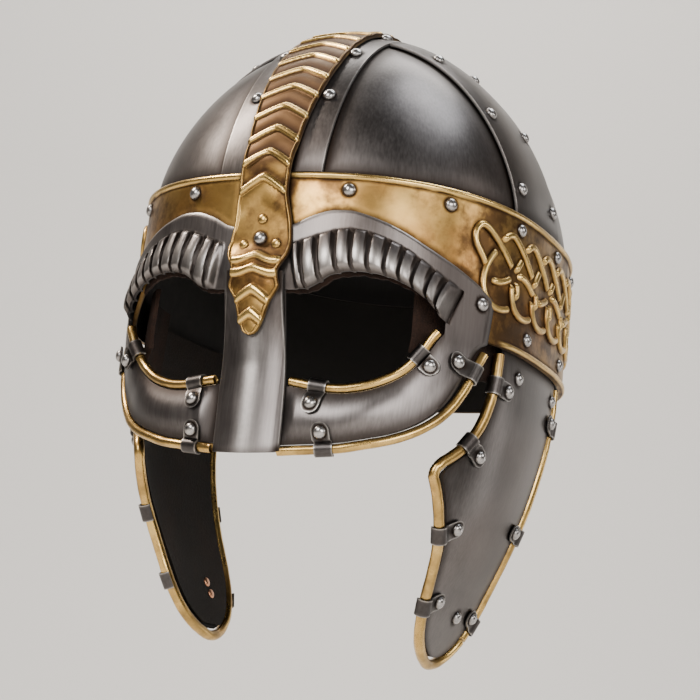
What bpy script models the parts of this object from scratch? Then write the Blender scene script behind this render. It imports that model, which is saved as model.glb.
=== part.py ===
"""A spectacle helmet of riveted steel plates and brass bands, as named solids.

Metres, +Z up, the face looks toward -Y and the wearer's left is +X. The origin
is the middle of the head opening, in the plane of the brow band's lower rim.
"""

import math
from collections import namedtuple

import bmesh
import bpy
from mathutils import Vector

MM = 0.001
WELD = 0.00002

# Brow band, whose plan is a rounded oval with a longer back half
PLAN_POWER = 2.4
BAND_HALF = 108.0 * MM
BAND_FRONT = 109.0 * MM
BAND_BACK = 139.5 * MM
BAND_HEIGHT = 72.0 * MM
BAND_WALL = 2.4 * MM
BAND_FLARE = 1.5 * MM
BAND_BEAD_RISE = 1.2 * MM
BAND_BEAD_WIDTH = 3.2 * MM
BAND_STATIONS = 48

# The mask's outer ends, and the arch of the band's lower edge behind it
MASK_SIDE_INSET = 7.0 * MM
MASK_HALF = BAND_HALF - MASK_SIDE_INSET
ARCH_RISE = 29.0 * MM
ARCH_SLOPE = 37.0 * MM
ARCH_OUTER = MASK_HALF
ARCH_INNER = ARCH_OUTER - ARCH_SLOPE

# Skull
SKULL_HEIGHT = 103.0 * MM
SKULL_ROUND = 2.17
SKULL_POINT = 1.58
PLATE_WALL = 1.6 * MM
PLATE_TUCK = 8.0 * MM
PLATE_OVERLAP = 11.0 * MM
SEAT_GAP = 0.5 * MM
EDGE_GAP = 0.4 * MM

# Bands over the skull
KEEL_HALF = 28.5 * MM
KEEL_STATIONS = 20
CROSS_HALF = 30.0 * MM
CROSS_FOOT = -3.0 * MM
CROSS_CROWN = -19.0 * MM
CROSS_STATIONS = 11
STRAP_WALL = 1.4 * MM
STRAP_SEAT = 0.8 * MM

# Rivets
RIVET_RADIUS = 3.5 * MM
RIVET_RISE = 2.6 * MM
RIVET_SINK = 0.5 * MM
RIVET_SIDES = 5
KEEL_RIVET_INSET = 8.0 * MM
KEEL_RIVET_FIRST = 64.0
KEEL_RIVET_PITCH = 22.3
KEEL_RIVET_PAIRS = 7
CROSS_RIVET_INSET = 8.0 * MM
CROSS_RIVET_FIRST = 33.0
CROSS_RIVET_PITCH = 24.6
CROSS_RIVET_PAIRS = 3
BAND_RIVET_FIRST = 44.0 * MM
BAND_RIVET_PITCH = 52.0 * MM
BAND_RIVETS = 7
BAND_RIVET_DROP = 8.6 * MM
TEMPLE_RIVET_INSET = 4.0 * MM
TEMPLE_RIVET_ACROSS = MASK_HALF - TEMPLE_RIVET_INSET
TEMPLE_RIVET_HEIGHT = 16.5 * MM
HINGE_RIVET_HEIGHT = 9.2 * MM
HINGE_RIVET_FRONT = -15.0 * MM
HINGE_RIVET_BACK = 43.0 * MM
HINGE_RIVET_DROP = 11.0 * MM
CHIN_RIVET_DROP = 132.0 * MM
CHIN_RIVET_BACK = 11.0 * MM

# Crest
CREST_HALF = 13.4 * MM
CREST_WALL = 1.6 * MM
CHEVRON_RISE = 2.0 * MM
CHEVRON_PITCH = 14.4 * MM
CHEVRON_DROP = 8.0 * MM
CHEVRON_WIDTH = 6.4 * MM
CREST_HEAD_TOP = 60.0 * MM
CREST_TIP = -11.0 * MM
CREST_STEP_SPAN = 12.0 * MM
CREST_NAPE_GAP = 6.0 * MM
DOT_RADIUS = 2.4 * MM
DOT_RISE = 1.2 * MM

# Mask
MASK_WALL = 1.8 * MM
MASK_RISE = 52.0 * MM
FLUTE_TOP_RISE = 43.0 * MM
EYE_RISE = 22.0 * MM
EYE_DROP = 38.0 * MM
MASK_DROP = 65.0 * MM
LEAN_DEPTH = 12.0 * MM
LEAN_START = 3.0 * MM
LEAN_SPAN = 60.0 * MM
FLUTES = 11
BRIDGE_ROWS = 4
FLUTE_RISE = 2.6 * MM
FLUTE_LIP = 2.0 * MM
FLUTE_START = 5.0 * MM
BROW_BULGE = 3.0 * MM
BROW_ROLL = 2.5 * MM
CHEEK_BULGE = 3.0 * MM
SWELL_START = 9.0 * MM

# Nasal
NASAL_HALF = 17.5 * MM
NASAL_RISE = 7.0 * MM
NASAL_RISE_TOP = 2.0 * MM
NASAL_TOP = 20.0 * MM
NASAL_DROP = 68.5 * MM

# Tubes and leather
FACE_TUBE_RADIUS = 2.2 * MM
CHEEK_TUBE_RADIUS = 2.8 * MM
TUBE_STEP = 7.5 * MM
TUBE_END_GAP = 0.7 * MM
LEATHER_WALL = 1.6 * MM
LINING_SHOW = 2.0 * MM
LINING_SPAN = 0.80
LINING_DROP = 3.0 * MM
LINING_SEAT = 0.8 * MM
LINING_INSET = 2.4 * MM
LINING_TOP = 12.0 * MM

# Cheek plates
CHEEK_TOP = 7.0 * MM
CHEEK_LENGTH = 157.5 * MM
CHEEK_REACH = 60.0 * MM
CHEEK_TAPER = 42.5 * MM
CHEEK_TAPER_POWER = 1.7
CHEEK_CURL = 13.0 * MM
CHEEK_BELLY = 3.0 * MM
CHEEK_BELLY_SHARE = 0.75
RIGHT_CHEEK_LIFT = 5.0 * MM

# Clips
CLIP_WALL = 1.0 * MM
CLIP_HALF = 4.3 * MM
CLIP_SEAT = 0.8 * MM
CLIP_GRIP = 0.4 * MM
CLIP_BOW = 0.45 * MM
CLIP_REACH = 9.5 * MM
CLIP_TAB = 4.6 * MM
CLIP_WRAP = 215.0
CLIP_LIFT = 36.0

# Knotwork, as lengths along the band and heights above its lower rim
KNOT_START = 138.0 * MM
KNOT_LENGTH = 225.0 * MM
KNOT_MIDDLE = 37.0 * MM
KNOT_SWING = 20.0 * MM
KNOT_WAVE = 56.0 * MM
KNOT_LOOP = 9.0 * MM
KNOT_WIDTH = 3.6 * MM
KNOT_RISE = 1.8 * MM
KNOT_UNDER = 0.3 * MM
KNOT_STEPS = 4

MaskEdge = namedtuple("MaskEdge", "across height")
MaskColumn = namedtuple("MaskColumn", "at_top at_eye at_bottom")
CheekSection = namedtuple("CheekSection", "down front back")
HeadSection = namedtuple("HeadSection", "down half relief")

# Mask edges: across as a share of MASK_HALF, height as a share of the size beside each
MASK_TOP_EDGE = (  # of MASK_RISE
    MaskEdge(0.00, 0.79), MaskEdge(0.18, 0.84), MaskEdge(0.26, 0.93), MaskEdge(0.36, 1.00),
    MaskEdge(0.47, 1.01), MaskEdge(0.55, 0.97), MaskEdge(0.63, 0.92), MaskEdge(0.71, 0.85),
    MaskEdge(0.78, 0.77), MaskEdge(0.85, 0.69), MaskEdge(0.91, 0.62), MaskEdge(0.97, 0.52),
    MaskEdge(1.00, 0.42),
)
FLUTE_TOP_EDGE = (  # of FLUTE_TOP_RISE
    MaskEdge(0.000, 0.720), MaskEdge(0.200, 0.810), MaskEdge(0.310, 0.905), MaskEdge(0.400, 0.980),
    MaskEdge(0.470, 1.010), MaskEdge(0.560, 0.990), MaskEdge(0.645, 0.925), MaskEdge(0.710, 0.860),
    MaskEdge(0.770, 0.765), MaskEdge(0.830, 0.665), MaskEdge(0.880, 0.580), MaskEdge(0.937, 0.500),
    MaskEdge(1.000, 0.380),
)
EYE_TOP_EDGE = (  # of EYE_RISE
    MaskEdge(0.000, 0.530), MaskEdge(0.200, 0.540), MaskEdge(0.280, 0.550), MaskEdge(0.310, 0.580),
    MaskEdge(0.340, 0.690), MaskEdge(0.375, 0.820), MaskEdge(0.430, 0.935), MaskEdge(0.490, 0.990),
    MaskEdge(0.570, 1.000), MaskEdge(0.645, 0.965), MaskEdge(0.710, 0.880), MaskEdge(0.767, 0.745),
    MaskEdge(0.825, 0.550), MaskEdge(0.868, 0.360), MaskEdge(0.893, 0.030), MaskEdge(1.000, 0.200),
)
EYE_BOTTOM_EDGE = (  # of EYE_DROP, measured down
    MaskEdge(0.000, 0.900), MaskEdge(0.170, 0.910), MaskEdge(0.260, 0.945), MaskEdge(0.360, 0.985),
    MaskEdge(0.460, 0.985), MaskEdge(0.520, 0.955), MaskEdge(0.580, 0.910), MaskEdge(0.640, 0.840),
    MaskEdge(0.700, 0.735), MaskEdge(0.736, 0.670), MaskEdge(0.800, 0.475), MaskEdge(0.838, 0.330),
    MaskEdge(0.870, 0.170), MaskEdge(0.893, 0.000), MaskEdge(1.000, -0.116),
)
MASK_BOTTOM_EDGE = (  # of MASK_DROP, measured down
    MaskEdge(0.000, 0.995), MaskEdge(0.160, 0.990), MaskEdge(0.360, 0.960), MaskEdge(0.474, 0.938),
    MaskEdge(0.550, 0.906), MaskEdge(0.610, 0.877), MaskEdge(0.666, 0.850), MaskEdge(0.722, 0.810),
    MaskEdge(0.775, 0.760), MaskEdge(0.827, 0.690), MaskEdge(0.875, 0.600), MaskEdge(0.914, 0.495),
    MaskEdge(0.942, 0.380), MaskEdge(0.963, 0.265), MaskEdge(0.983, 0.114), MaskEdge(1.000, -0.050),
)

# How the mask's columns fan out, as shares of MASK_HALF at the top, eye and bottom
MASK_COLUMNS = (
    MaskColumn(0.000, 0.000, 0.000), MaskColumn(0.093, 0.166, 0.166),
    MaskColumn(0.224, 0.298, 0.285), MaskColumn(0.312, 0.376, 0.370),
    MaskColumn(0.468, 0.498, 0.500), MaskColumn(0.639, 0.639, 0.650),
    MaskColumn(0.764, 0.753, 0.775), MaskColumn(0.922, 0.893, 0.905),
    MaskColumn(0.965, 0.940, 0.965), MaskColumn(1.000, 1.000, 1.000),
)
EYE_CORNER_COLUMN = 7

# Cheek plate outline at the tube's centre: down as a share of CHEEK_LENGTH, edges of CHEEK_REACH
CHEEK_OUTLINE = (
    CheekSection(-0.040, -0.58, 0.93), CheekSection(0.010, -0.58, 0.92),
    CheekSection(0.085, -0.59, 0.88), CheekSection(0.155, -0.61, 0.85),
    CheekSection(0.220, -0.64, 0.81), CheekSection(0.280, -0.69, 0.78),
    CheekSection(0.345, -0.79, 0.75), CheekSection(0.420, -1.00, 0.73),
    CheekSection(0.480, -0.90, 0.72), CheekSection(0.560, -0.78, 0.70),
    CheekSection(0.640, -0.66, 0.69), CheekSection(0.735, -0.56, 0.68),
    CheekSection(0.830, -0.48, 0.65), CheekSection(0.915, -0.34, 0.55),
    CheekSection(0.965, -0.16, 0.40), CheekSection(0.990, 0.01, 0.27),
)

# Crest head: down as a share of its length, half width of CREST_HALF, relief of CHEVRON_RISE
CREST_HEAD = (
    HeadSection(0.98, 0.34, 0.0), HeadSection(0.90, 0.50, 0.2), HeadSection(0.84, 0.55, 1.0),
    HeadSection(0.79, 0.62, 0.1), HeadSection(0.70, 0.78, 0.1), HeadSection(0.65, 0.86, 1.0),
    HeadSection(0.60, 1.02, 0.1), HeadSection(0.56, 1.06, 0.1), HeadSection(0.52, 0.99, 1.0),
    HeadSection(0.48, 1.02, 0.1), HeadSection(0.44, 1.14, 1.0), HeadSection(0.40, 1.24, 0.1),
    HeadSection(0.34, 1.29, 0.1), HeadSection(0.22, 1.20, 0.1), HeadSection(0.10, 1.04, 0.1),
)

# Clips: where along its tube each one sits, as a share of the tube's length
EYE_CLIPS = (0.15, 0.835)
MASK_CLIPS = (0.16, 0.905)
CHEEK_CLIPS = (0.044, 0.135, 0.292, 0.395, 0.637, 0.777, 0.94)

COLLECTION = "norse_iron_helmet"
CUTTERS = "cutters"


def ease(value):
    """Ease from 0 to 1, flat at both ends."""
    value = min(max(value, 0.0), 1.0)
    return value * value * (3.0 - 2.0 * value)


def read_rows(rows, at, across=0, height=1):
    """Read one column of a table at a place along another, joined by straight lines."""
    first = rows[0]
    if at <= first[across]:
        return first[height]
    for low, high in zip(rows, rows[1:]):
        if at <= high[across]:
            share = (at - low[across]) / (high[across] - low[across])
            return low[height] + (high[height] - low[height]) * share
    return rows[-1][height]


def solve(function, low, high, steps=44):
    """Find where a rising function passes zero, by halving."""
    for _ in range(steps):
        middle = (low + high) / 2.0
        if function(middle) > 0.0:
            high = middle
        else:
            low = middle
    return (low + high) / 2.0


def flare(height):
    """How far the band and what hangs under it stands out below its upper rim."""
    return BAND_FLARE * min(max(1.0 - height / BAND_HEIGHT, 0.0), 1.0)


def ring_point(turn, height, out):
    """Point on the brow band's outer face, pushed outward, by its turn from the front."""
    side = math.sin(turn)
    fore = math.cos(turn)
    power = 2.0 / PLAN_POWER
    half = BAND_HALF + flare(height) + out
    deep = (BAND_FRONT if fore > 0.0 else BAND_BACK) + flare(height) + out
    x = math.copysign(half * abs(side) ** power, side)
    y = -math.copysign(deep * abs(fore) ** power, fore)
    return Vector((x, y, height))


def ring_turns(steps=720):
    """Turn at each length walked round one side of the band, from front to back."""
    table = [(0.0, 0.0)]
    last = ring_point(0.0, BAND_HEIGHT / 2.0, 0.0)
    for step in range(1, steps + 1):
        turn = math.pi * step / steps
        point = ring_point(turn, BAND_HEIGHT / 2.0, 0.0)
        table.append((table[-1][0] + (point - last).length, turn))
        last = point
    return table


RING_TABLE = ring_turns()
RING_LENGTH = RING_TABLE[-1][0]


def ring_at(length, height, out, side):
    """Point on the band at a length walked round one side from the front."""
    low = 0
    high = len(RING_TABLE) - 1
    while high - low > 1:
        middle = (low + high) // 2
        if RING_TABLE[middle][0] > length:
            high = middle
        else:
            low = middle
    before, after = RING_TABLE[low], RING_TABLE[high]
    share = (length - before[0]) / (after[0] - before[0])
    turn = before[1] + (after[1] - before[1]) * share
    point = ring_point(turn, height, out)
    return Vector((side * point.x, point.y, point.z))


def skull_half():
    """Half width of the skull plates, which sit inside the brow band."""
    return BAND_HALF - BAND_WALL - EDGE_GAP


def skull_front():
    """Depth of the skull plates in front of the ears."""
    return BAND_FRONT - BAND_WALL - EDGE_GAP


def skull_back():
    """Depth of the skull plates behind the ears."""
    return BAND_BACK - BAND_WALL - EDGE_GAP


def skull_level(x, y, out):
    """Share of the skull's rim outline that passes through a point seen from above."""
    deep = (skull_front() if y < 0.0 else skull_back()) + out
    power = PLAN_POWER
    return ((abs(x) / (skull_half() + out)) ** power + (abs(y) / deep) ** power) ** (1.0 / power)


def skull_over(x, y, out):
    """Height of the skull over a point seen from above."""
    level = min(skull_level(x, y, out), 1.0)
    rise = (1.0 - level ** SKULL_ROUND) ** (1.0 / SKULL_POINT)
    return BAND_HEIGHT + (SKULL_HEIGHT + out) * rise


def outside_skull(point, out):
    """Above zero outside the skull's outer face pushed outward, below zero inside it."""
    level = skull_level(point.x, point.y, out)
    rise = max((point.z - BAND_HEIGHT) / (SKULL_HEIGHT + out), 0.0)
    return level ** SKULL_ROUND + rise ** SKULL_POINT - 1.0


def keel_point(x, turn, out):
    """Point over the skull at a distance beside the keel and a turn from upright, front positive."""
    def along(reach):
        return Vector((x, -reach * math.sin(turn), BAND_HEIGHT + reach * math.cos(turn)))

    reach = solve(lambda value: outside_skull(along(value), out), 0.0, 2.0 * BAND_BACK)
    return along(reach)


def cross_point(beside, turn, out, side):
    """Point on the cross band at a distance behind its middle and a turn from upright."""
    def along(reach):
        height = BAND_HEIGHT + reach * math.cos(turn)
        share = min((height - BAND_HEIGHT) / SKULL_HEIGHT, 1.0)
        middle = CROSS_FOOT + (CROSS_CROWN - CROSS_FOOT) * share
        return Vector((reach * math.sin(turn), middle + beside, height))

    reach = solve(lambda value: outside_skull(along(value), out), 0.0, 2.0 * BAND_BACK)
    point = along(reach)
    return Vector((side * point.x, point.y, point.z))


def band_bottom(x):
    """Height of the band's lower edge in front, which arches up behind the mask."""
    return ARCH_RISE * ease((ARCH_OUTER - abs(x)) / (ARCH_OUTER - ARCH_INNER))


def lean(x, height):
    """How far the mask leans back toward the face below the band's lower edge."""
    return LEAN_DEPTH * ease((band_bottom(x) + LEAN_START - height) / LEAN_SPAN)


def mask_out():
    """How far the mask's outer face stands out from the band's."""
    return SEAT_GAP + MASK_WALL


def mask_point(x, height, out):
    """Point on the face side of the helmet at a distance from the middle, pushed outward."""
    half = BAND_HALF + BAND_FLARE + out
    deep = BAND_FRONT + flare(height) + out - lean(x, height)
    share = min(abs(x) / half, 1.0)
    y = -deep * (1.0 - share ** PLAN_POWER) ** (1.0 / PLAN_POWER)
    return Vector((x, y, height))


def cheek_point(y, height, out, side):
    """Point on the cheek plate's outer face at a fore and aft place and height."""
    fall = min(max(-height / CHEEK_LENGTH, 0.0), 1.0)
    belly = CHEEK_BELLY * math.sin(math.pi * min(fall / CHEEK_BELLY_SHARE, 1.0))
    seat = flare(max(height, 0.0)) - BAND_WALL - SEAT_GAP
    half = BAND_HALF + seat + belly - CHEEK_TAPER * fall ** CHEEK_TAPER_POWER + out
    curl = CHEEK_CURL * ease(-height / CHEEK_REACH)
    front = BAND_FRONT + seat - curl + out
    back = BAND_BACK + seat + out
    share = min(abs(y) / (front if y < 0.0 else back), 1.0)
    x = half * (1.0 - share ** PLAN_POWER) ** (1.0 / PLAN_POWER)
    return Vector((side * x, y, height))


def edge_height(edge, x, size, sign=1.0):
    """Height of one of the mask's edges at a distance from the middle."""
    return sign * size * read_rows(edge, abs(x) / MASK_HALF)


def cheek_swell(x, height):
    """How far the mask swells out between its eye opening and its lower edge."""
    high = edge_height(EYE_BOTTOM_EDGE, x, EYE_DROP, -1.0)
    low = edge_height(MASK_BOTTOM_EDGE, x, MASK_DROP, -1.0)
    down = min(max((high - height) / (high - low), 0.0), 1.0)
    beside = ease((abs(x) - NASAL_HALF - EDGE_GAP) / SWELL_START)
    return CHEEK_BULGE * math.sin(math.pi * down) * beside * ease((high - low) / SWELL_START / 2.0)


def nasal_point(x, height, out):
    """Point on the nasal's inner face, which bows out from the mask, pushed outward."""
    share = min(max((NASAL_TOP - height) / NASAL_DROP, 0.0), 1.0)
    rise = NASAL_RISE_TOP + (NASAL_RISE - NASAL_RISE_TOP) * ease(1.6 * share)
    base = mask_point(x, height, mask_out() + STRAP_SEAT)
    bow = rise * max(1.0 - (x / NASAL_HALF) ** 2, 0.0)
    return Vector((x, base.y - bow - out, height))


def clean_mesh(mesh):
    """Weld points that coincide and turn every face outward."""
    work = bmesh.new()
    work.from_mesh(mesh)
    bmesh.ops.remove_doubles(work, verts=work.verts, dist=WELD)
    loose = [point for point in work.verts if not point.link_faces]
    bmesh.ops.delete(work, geom=loose, context="VERTS")
    bmesh.ops.recalc_face_normals(work, faces=work.faces)
    work.to_mesh(mesh)
    work.free()


def make_object(name, points, faces, collection):
    """Make one object from points and faces, with its faces outward."""
    mesh = bpy.data.meshes.new(name)
    mesh.from_pydata([tuple(point) for point in points], [], faces)
    clean_mesh(mesh)
    made = bpy.data.objects.new(name, mesh)
    collection.objects.link(made)
    return made


def sheet_faces(rows, columns, start=0, skip=()):
    """Faces of a grid of points, leaving out the cells named in skip."""
    faces = []
    for row in range(rows - 1):
        for column in range(columns - 1):
            if (row, column) in skip:
                continue
            corner = start + row * columns + column
            faces.append((corner, corner + 1, corner + columns + 1, corner + columns))
    return faces


def border_edges(faces):
    """Edges used by one face alone, in that face's direction."""
    used = {}
    for face in faces:
        for here, there in zip(face, face[1:] + face[:1]):
            used[(here, there)] = used.get((here, there), 0) + 1
    return [edge for edge in used if (edge[1], edge[0]) not in used]


def wall(name, outer, inner, collection, skip=()):
    """A closed wall between an outer and an inner grid of points."""
    points = [point for row in outer for point in row]
    count = len(points)
    first = {}
    same = []
    for point in points:
        place = tuple(round(value / WELD) for value in point)
        same.append(first.setdefault(place, len(same)))
    points += [point for row in inner for point in row]
    front = []
    for face in sheet_faces(len(outer), len(outer[0]), 0, skip):
        corners = tuple(dict.fromkeys(same[corner] for corner in face))
        for middle in range(1, len(corners) - 1):
            front.append((corners[0], corners[middle], corners[middle + 1]))
    back = [tuple(reversed([corner + count for corner in face])) for face in front]
    sides = [(there, here, here + count, there + count) for here, there in border_edges(front)]
    return make_object(name, points, front + back + sides, collection)


def surface_normal(function, first, second, step=0.0005):
    """Outward normal of a surface given as a function of two places and an offset."""
    here = function(first, second, 0.0)
    across = function(first + step, second, 0.0) - here
    along = function(first, second + step, 0.0) - here
    normal = across.cross(along).normalized()
    outward = function(first, second, step) - here
    return normal if normal.dot(outward) > 0.0 else -normal


def dome(centre, normal, radius, rise, sides=RIVET_SIDES):
    """Points and faces of one low rivet head, sunk a little into what carries it."""
    side = normal.cross(Vector((0.0, 0.0, 1.0)))
    if side.length < 0.1:
        side = normal.cross(Vector((1.0, 0.0, 0.0)))
    side.normalize()
    other = normal.cross(side)
    points = []
    for share, lift in ((1.0, -RIVET_SINK), (0.74, 0.75 * rise)):
        for step in range(sides):
            turn = 2.0 * math.pi * step / sides
            round_part = side * math.cos(turn) + other * math.sin(turn)
            points.append(centre + round_part * radius * share + normal * lift)
    points.append(centre + normal * rise)
    faces = [tuple(reversed(range(sides)))]
    for step in range(sides):
        after = (step + 1) % sides
        faces.append((step, after, sides + after, sides + step))
        faces.append((sides + step, sides + after, 2 * sides))
    return points, faces


def join_all(target, name, pieces, cutters):
    """Fuse closed pieces, given as points and faces and clear of each other, to one solid."""
    if not pieces:
        return
    points = []
    faces = []
    for more_points, more_faces in pieces:
        start = len(points)
        points += more_points
        faces += [tuple(corner + start for corner in face) for face in more_faces]
    mesh = bpy.data.meshes.new(name)
    mesh.from_pydata([tuple(point) for point in points], [], faces)
    work = bmesh.new()
    work.from_mesh(mesh)
    bmesh.ops.recalc_face_normals(work, faces=work.faces)
    work.to_mesh(mesh)
    work.free()
    cutter = bpy.data.objects.new(name, mesh)
    cutter.hide_render = True
    cutter.display_type = "WIRE"
    cutters.objects.link(cutter)
    union = target.modifiers.new(name, "BOOLEAN")
    union.operation = "UNION"
    union.solver = "EXACT"
    union.object = cutter


def make_skull_plate(name, side, fore, collection):
    """One quarter of the skull, from under the keel band to under the cross band."""
    inner_x = KEEL_HALF - PLATE_OVERLAP
    levels = 6
    steps = 7

    def corner_y():
        middle = CROSS_CROWN
        edge = CROSS_HALF - PLATE_OVERLAP
        return middle - edge if fore else middle + edge

    def foot_y():
        edge = CROSS_HALF - PLATE_OVERLAP
        return CROSS_FOOT - edge if fore else CROSS_FOOT + edge

    def rim(step, out):
        deep = (skull_front() if fore else skull_back()) + out
        half = skull_half() + out
        power = PLAN_POWER
        first = math.asin((inner_x / half) ** (power / 2.0))
        reach = abs(foot_y()) if (foot_y() < 0.0) == fore else 0.0
        last = math.acos((reach / deep) ** (power / 2.0))
        turn = first + (last - first) * step / steps
        x = half * math.sin(turn) ** (2.0 / power)
        y = deep * math.cos(turn) ** (2.0 / power)
        return x, (-y if fore else y)

    def grid(out):
        corner = (inner_x, corner_y())
        rows = []
        tuck = []
        for step in range(steps + 1):
            x, y = rim(step, out)
            tuck.append(Vector((side * x, y, BAND_HEIGHT - PLATE_TUCK)))
        rows.append(tuck)
        for level in range(levels + 1):
            turn = 0.5 * math.pi * level / (levels + 0.35)
            share = math.cos(turn) ** (2.0 / SKULL_ROUND)
            row = []
            for step in range(steps + 1):
                x, y = rim(step, out)
                x = corner[0] + (x - corner[0]) * share
                y = corner[1] + (y - corner[1]) * share
                row.append(Vector((side * x, y, skull_over(x, y, out))))
            rows.append(row)
        return rows

    return wall(name, grid(0.0), grid(-PLATE_WALL), collection)


def make_keel_band(collection, cutters):
    """The steel band over the crown, with a pair of rivets at each station."""
    low = STRAP_SEAT
    high = STRAP_SEAT + STRAP_WALL
    last = math.acos(EDGE_GAP / skull_half())

    def grid(out):
        rows = []
        for station in range(KEEL_STATIONS + 1):
            turn = last - 2.0 * last * station / KEEL_STATIONS
            rows.append([keel_point(KEEL_HALF * share, turn, out) for share in (-1.0, -0.5, 0.0, 0.5, 1.0)])
        return rows

    band = wall("keel_band", grid(high), grid(low), collection)
    heads = []
    for pair in range(KEEL_RIVET_PAIRS):
        turn = math.radians(KEEL_RIVET_FIRST - KEEL_RIVET_PITCH * pair)
        for side in (-1.0, 1.0):
            x = side * (KEEL_HALF - KEEL_RIVET_INSET)
            centre = keel_point(x, turn, high)
            normal = surface_normal(lambda a, b, out: keel_point(a, b, high + out), x, turn)
            heads.append(dome(centre, normal, RIVET_RADIUS, RIVET_RISE))
    join_all(band, "keel_rivets", heads, cutters)
    return band


def make_cross_band(side, collection, cutters):
    """The steel band from the keel band down over one ear."""
    low = STRAP_SEAT
    high = STRAP_SEAT + STRAP_WALL
    last = math.acos(EDGE_GAP / skull_half())
    inner_x = KEEL_HALF + EDGE_GAP

    def grid(out):
        rows = []
        columns = []
        for share in (-1.0, -0.5, 0.0, 0.5, 1.0):
            beside = CROSS_HALF * share
            first = solve(lambda turn: cross_point(beside, turn, out, 1.0).x - inner_x, 0.02, 0.8)
            columns.append([cross_point(beside, first + (last - first) * station / CROSS_STATIONS, out, side)
                            for station in range(CROSS_STATIONS + 1)])
        for station in range(CROSS_STATIONS + 1):
            rows.append([column[station] for column in columns])
        return rows

    word = "left" if side > 0.0 else "right"
    band = wall("cross_band_" + word, grid(high), grid(low), collection)
    heads = []
    for pair in range(CROSS_RIVET_PAIRS):
        turn = math.radians(CROSS_RIVET_FIRST + CROSS_RIVET_PITCH * pair)
        for row in (-1.0, 1.0):
            beside = row * (CROSS_HALF - CROSS_RIVET_INSET)
            centre = cross_point(beside, turn, high, side)
            normal = surface_normal(lambda a, b, out: cross_point(a, b, high + out, side), beside, turn)
            heads.append(dome(centre, normal, RIVET_RADIUS, RIVET_RISE))
    join_all(band, "cross_rivets_" + word, heads, cutters)
    return band


def crest_base(height):
    """How far the crest's underside stands out from the band's outer face, by height."""
    over_band = BAND_BEAD_RISE + STRAP_SEAT
    over_mask = mask_out() + SEAT_GAP
    share = ease((MASK_RISE - height) / CREST_STEP_SPAN)
    return over_band + (over_mask - over_band) * share


def crest_front(x, height, out):
    """Point on the crest where it lies on the band, the mask and the nasal."""
    base = mask_point(x, height, crest_base(height) + out)
    step = (NASAL_TOP + 1.3 * CREST_STEP_SPAN - height) / CREST_STEP_SPAN
    if step > 0.0:
        over = nasal_point(0.0, min(height, NASAL_TOP), MASK_WALL + STRAP_SEAT + out)
        share = ease(step)
        bow = NASAL_RISE_TOP * (x / NASAL_HALF) ** 2
        base.y = base.y + (over.y + bow - base.y) * share
    return base


def crest_reach():
    """Lengths walked along the middle of the crest from its tip, with the place of each."""
    places = []
    for step in range(80):
        places.append(("front", CREST_TIP + (BAND_HEIGHT - CREST_TIP) * step / 80.0))
    last = math.pi / 2.0
    stop = -math.acos(CREST_NAPE_GAP / skull_back())
    for step in range(241):
        places.append(("over", last + (stop - last) * step / 240.0))
    table = []
    total = 0.0
    before = None
    for kind, value in places:
        point = crest_point(0.0, kind, value, 0.0)
        if before is not None:
            total += (point - before).length
        table.append((total, kind, value))
        before = point
    return table


def crest_point(x, kind, value, out):
    """Point on the crest's underside, pushed outward, in front or over the skull."""
    if kind == "front":
        return crest_front(x, value, out)
    lift = STRAP_SEAT + STRAP_WALL + STRAP_SEAT
    edge = BAND_FRONT + crest_base(BAND_HEIGHT) - skull_front()
    rough = keel_point(x, value, lift + out)
    step = ease(1.4 - (rough.z - BAND_HEIGHT) / CREST_STEP_SPAN) if value > 0.0 else 0.0
    return keel_point(x, value, lift + (edge - lift) * step + out)


def crest_at(table, length, x, out):
    """Point on the crest at a length from its tip and a distance beside its middle."""
    length = min(max(length, 0.0), table[-1][0])
    low = 0
    high = len(table) - 1
    while high - low > 1:
        middle = (low + high) // 2
        if table[middle][0] > length:
            high = middle
        else:
            low = middle
    before, after = table[low], table[high]
    if before[1] != after[1]:
        kind, start, stop = "front", before[2], BAND_HEIGHT
    else:
        kind, start, stop = before[1], before[2], after[2]
    share = (length - before[0]) / (after[0] - before[0])
    return crest_point(x, kind, start + (stop - start) * share, out)


def crest_rows(table):
    """Rows of the crest from tip to nape: length at the middle, half width, relief and drop."""
    head = CREST_HEAD_TOP - CREST_TIP
    rows = []
    for section in CREST_HEAD:
        length = head * (1.0 - section.down)
        drop = CHEVRON_DROP * section.half * (0.35 if section.relief < 1.0 and section.down < 0.36 else 0.75)
        if section.down > 0.9:
            drop = 0.0
        rows.append((length, section.half * CREST_HALF, section.relief * CHEVRON_RISE, drop))
    count = int((table[-1][0] - head - CHEVRON_PITCH) / CHEVRON_PITCH)
    for chevron in range(count):
        start = head + CHEVRON_PITCH * chevron
        for along, relief in ((0.0, 0.1), (CHEVRON_PITCH - CHEVRON_WIDTH, 0.1),
                              (CHEVRON_PITCH - CHEVRON_WIDTH / 2.0, 1.0)):
            rows.append((start + along, CREST_HALF, relief * CHEVRON_RISE, CHEVRON_DROP))
    last = head + CHEVRON_PITCH * count
    spare = table[-1][0] - last
    for step in range(4):
        share = step / 3.0
        rows.append((last + spare * share, CREST_HALF, 0.0, CHEVRON_DROP * (1.0 - share)))
    return rows


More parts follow.
